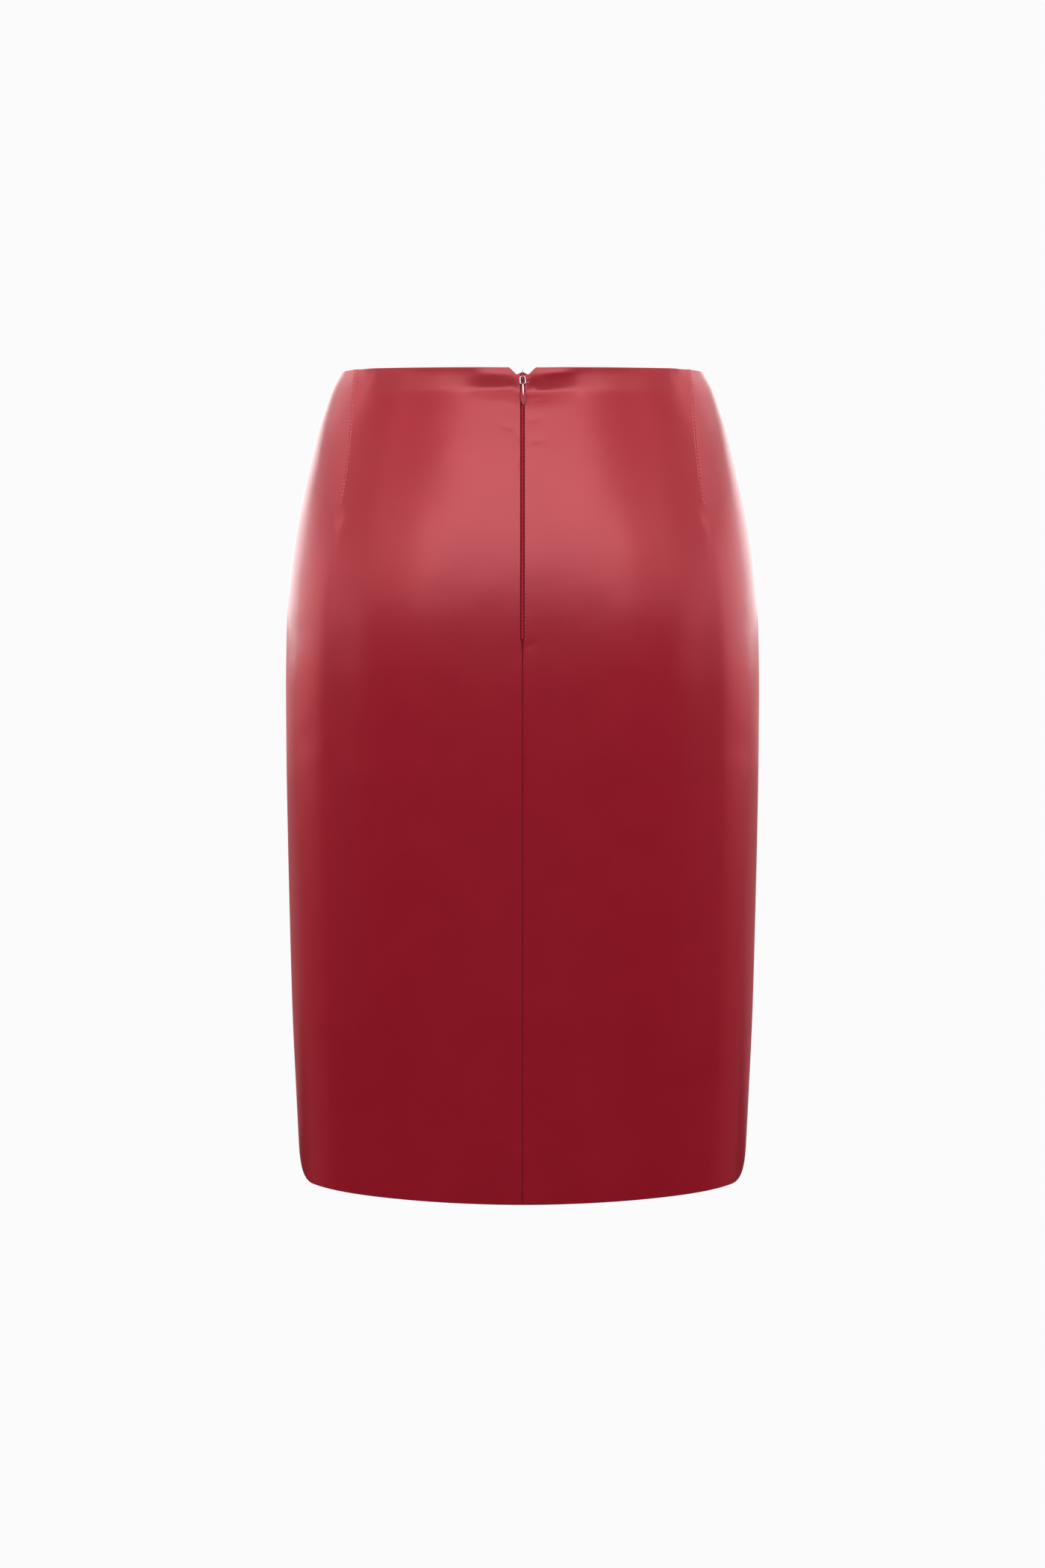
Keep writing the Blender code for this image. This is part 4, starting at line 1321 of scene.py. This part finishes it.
build = Build()
for arc, drop, end_arc, end_drop in PUCKERS:
    share = np.linspace(0, 1, len(PUCKER_HEIGHTS))
    arcs, drops = (arc + (end_arc - arc) * share) * MM, (drop + (end_drop - drop) * share) * MM
    build.add(*tube(skin("back", arcs, drops, PUCKER_HEIGHTS), PUCKER_RADII, 8, PIVOT_NORMAL))
declare(build.object("pucker_stitches", [thread]))
build = Build()
build.add(*tube(skin("back", *THREAD_END.T), 0.13 * MM, 8, PIVOT_NORMAL))
declare(build.object("loose_thread_end", [grey_thread]))

# ---- camera, stage and light

scene.view_settings.view_transform = "Standard"

CAMERA_PLACE = (0, 2.8, -0.095)
CAMERA_PITCH = math.atan2(380, 5040)  # of the picture's middle below level, in the frame's pixels
camera_data = bpy.data.cameras.new("camera")
camera_data.sensor_width = 36
camera_data.lens = 86.4
camera_data.clip_end = 50
camera = bpy.data.objects.new("camera", camera_data)
camera.location = CAMERA_PLACE
camera.rotation_euler = Euler((math.pi / 2 - CAMERA_PITCH, 0, math.pi))
scene.collection.objects.link(camera)
scene.camera = camera

PALE = 0.965
FLOOR_DROP = 1.9
FLOOR_HALF = 20.0


def floor():
    """A plain pale floor, evenly lit, far below the hem."""
    corners = ((-1, -1), (1, -1), (1, 1), (-1, 1))
    points = [(x * FLOOR_HALF, y * FLOOR_HALF, -FLOOR_DROP) for x, y in corners]
    material = bpy.data.materials.new("pale_floor")
    material.use_nodes = True
    nodes, links = material.node_tree.nodes, material.node_tree.links
    nodes.remove(nodes["Principled BSDF"])
    glow = nodes.new("ShaderNodeEmission")
    glow.inputs["Color"].default_value = (PALE, PALE, PALE, 1)
    links.new(glow.outputs["Emission"], nodes["Material Output"].inputs["Surface"])
    obj = mesh_object("floor", points, [(0, 1, 2, 3)], [material])
    obj.visible_glossy = False
    obj.visible_diffuse = False
    obj.visible_shadow = False


def pale_world(fill):
    """A white studio all round, which the leather sees only as a faint fill."""
    world = bpy.data.worlds.new("studio")
    scene.world = world
    world.use_nodes = True
    nodes, links = world.node_tree.nodes, world.node_tree.links
    seen = nodes["Background"]
    seen.inputs["Color"].default_value = (PALE, PALE, PALE, 1)
    dim = nodes.new("ShaderNodeBackground")
    dim.inputs["Color"].default_value = (fill, fill, fill, 1)
    path = nodes.new("ShaderNodeLightPath")
    mix = nodes.new("ShaderNodeMixShader")
    links.new(path.outputs["Is Camera Ray"], mix.inputs["Fac"])
    links.new(dim.outputs["Background"], mix.inputs[1])
    links.new(seen.outputs["Background"], mix.inputs[2])
    links.new(mix.outputs["Shader"], nodes["World Output"].inputs["Surface"])


def softbox(box, azimuth):
    """A soft rectangular light that spans two elevations, seen from the hips. Degrees."""
    middle = math.radians((box.low + box.high) / 2)
    data = bpy.data.lights.new(box.name, "AREA")
    data.shape = "RECTANGLE"
    width, height = (
        2 * LIGHT_DISTANCE * math.tan(math.radians(angle / 2))
        for angle in (box.spread, box.high - box.low)
    )
    data.size, data.size_y = width, height
    data.energy = box.radiance * width * height * math.pi
    data.color = box.tint
    obj = bpy.data.objects.new(box.name, data)
    turn = math.radians(azimuth)
    level = math.cos(middle)
    aim = Vector((math.sin(turn) * level, math.cos(turn) * level, math.sin(middle)))
    obj.location = Vector(LIGHT_TARGET) + aim * LIGHT_DISTANCE
    obj.rotation_euler = aim.to_track_quat("Z", "Y").to_euler()
    obj.visible_camera = False
    obj.visible_glossy = box.glossy
    scene.collection.objects.link(obj)


LIGHT_TARGET = (0, 0, -0.2)
LIGHT_DISTANCE = 3.0
WORLD_FILL = 0.02

WHITE = (1, 1, 1)
PINK = (1, 0.84, 0.84)
BLUSH = (1, 0.74, 0.76)
ROSE = (1, 0.40, 0.42)
# Azimuth from behind the skirt, lowest and highest elevation and spread to the sides, in degrees
Softbox = namedtuple(
    "Softbox", "name azimuth low high spread radiance tint glossy", defaults=(True,)
)
SOFTBOXES = (
    # behind the camera, on the skirt's back
    ("key", 0, 11, 25, 54, 3.3, WHITE),
    ("key_middle", 0, 25, 36, 40, 3.35, WHITE),
    ("key_high", 0, 36, 60, 28, 1.6, WHITE),
    ("key_top", 0, 60, 86, 44, 0.7, WHITE),
    ("wing", 38, 9, 25, 26, 2.0, PINK),
    ("wing_middle", 34.5, 25, 40, 33, 1.10, BLUSH),
    ("wing_high", 32.5, 40, 60, 37, 0.7, BLUSH),
    # at the sides
    ("flank", 72, 2, 16, 38, 1.5, PINK),
    ("flank_middle", 72, 16, 32, 38, 0.95, PINK),
    ("flank_high", 72, 32, 60, 38, 0.60, PINK),
    ("edge_foot", 113, -24, -6, 36, 0.24, ROSE),
    ("edge_low", 113, -6, 0, 36, 1.35, ROSE),
    ("edge", 113, 0, 12, 36, 2.2, PINK),
    ("edge_top", 109, 12, 18, 44, 0.85, PINK),
    ("edge_high", 109, 18, 42, 44, 1.85, PINK),
    ("edge_crown", 109, 42, 72, 44, 0.6, PINK),
    # on the skirt's front
    ("rim_foot", 180, -18, -6, 94, 0.40, ROSE),
    ("rim_low", 180, -6, -1, 94, 0.9, ROSE),
    ("rim", 180, -1, 14, 94, 2.5, WHITE),
    ("front_key", 180, 14, 36, 44, 3.1, WHITE),
    ("front_high", 180, 36, 60, 44, 2.0, WHITE),
    ("front_top", 180, 60, 86, 44, 0.9, WHITE),
    ("front_wing", 145, 14, 20, 26, 1.2, PINK),
    ("front_wing_high", 145, 20, 60, 26, 1.8, PINK),
    # soft fill that only lights the dye, not the shine
    ("fill", 0, -10, 40, 50, 0.7, WHITE, False),
    ("fill_side", 72, -10, 40, 50, 1.5, WHITE, False),
    ("fill_front", 180, -10, 40, 50, 0.9, WHITE, False),
    ("fill_front_side", 118, -10, 40, 40, 0.9, WHITE, False),
)

floor()
pale_world(WORLD_FILL)
for box in (Softbox(*row) for row in SOFTBOXES):
    for azimuth in {box.azimuth, -box.azimuth % 360}:
        softbox(box, azimuth)
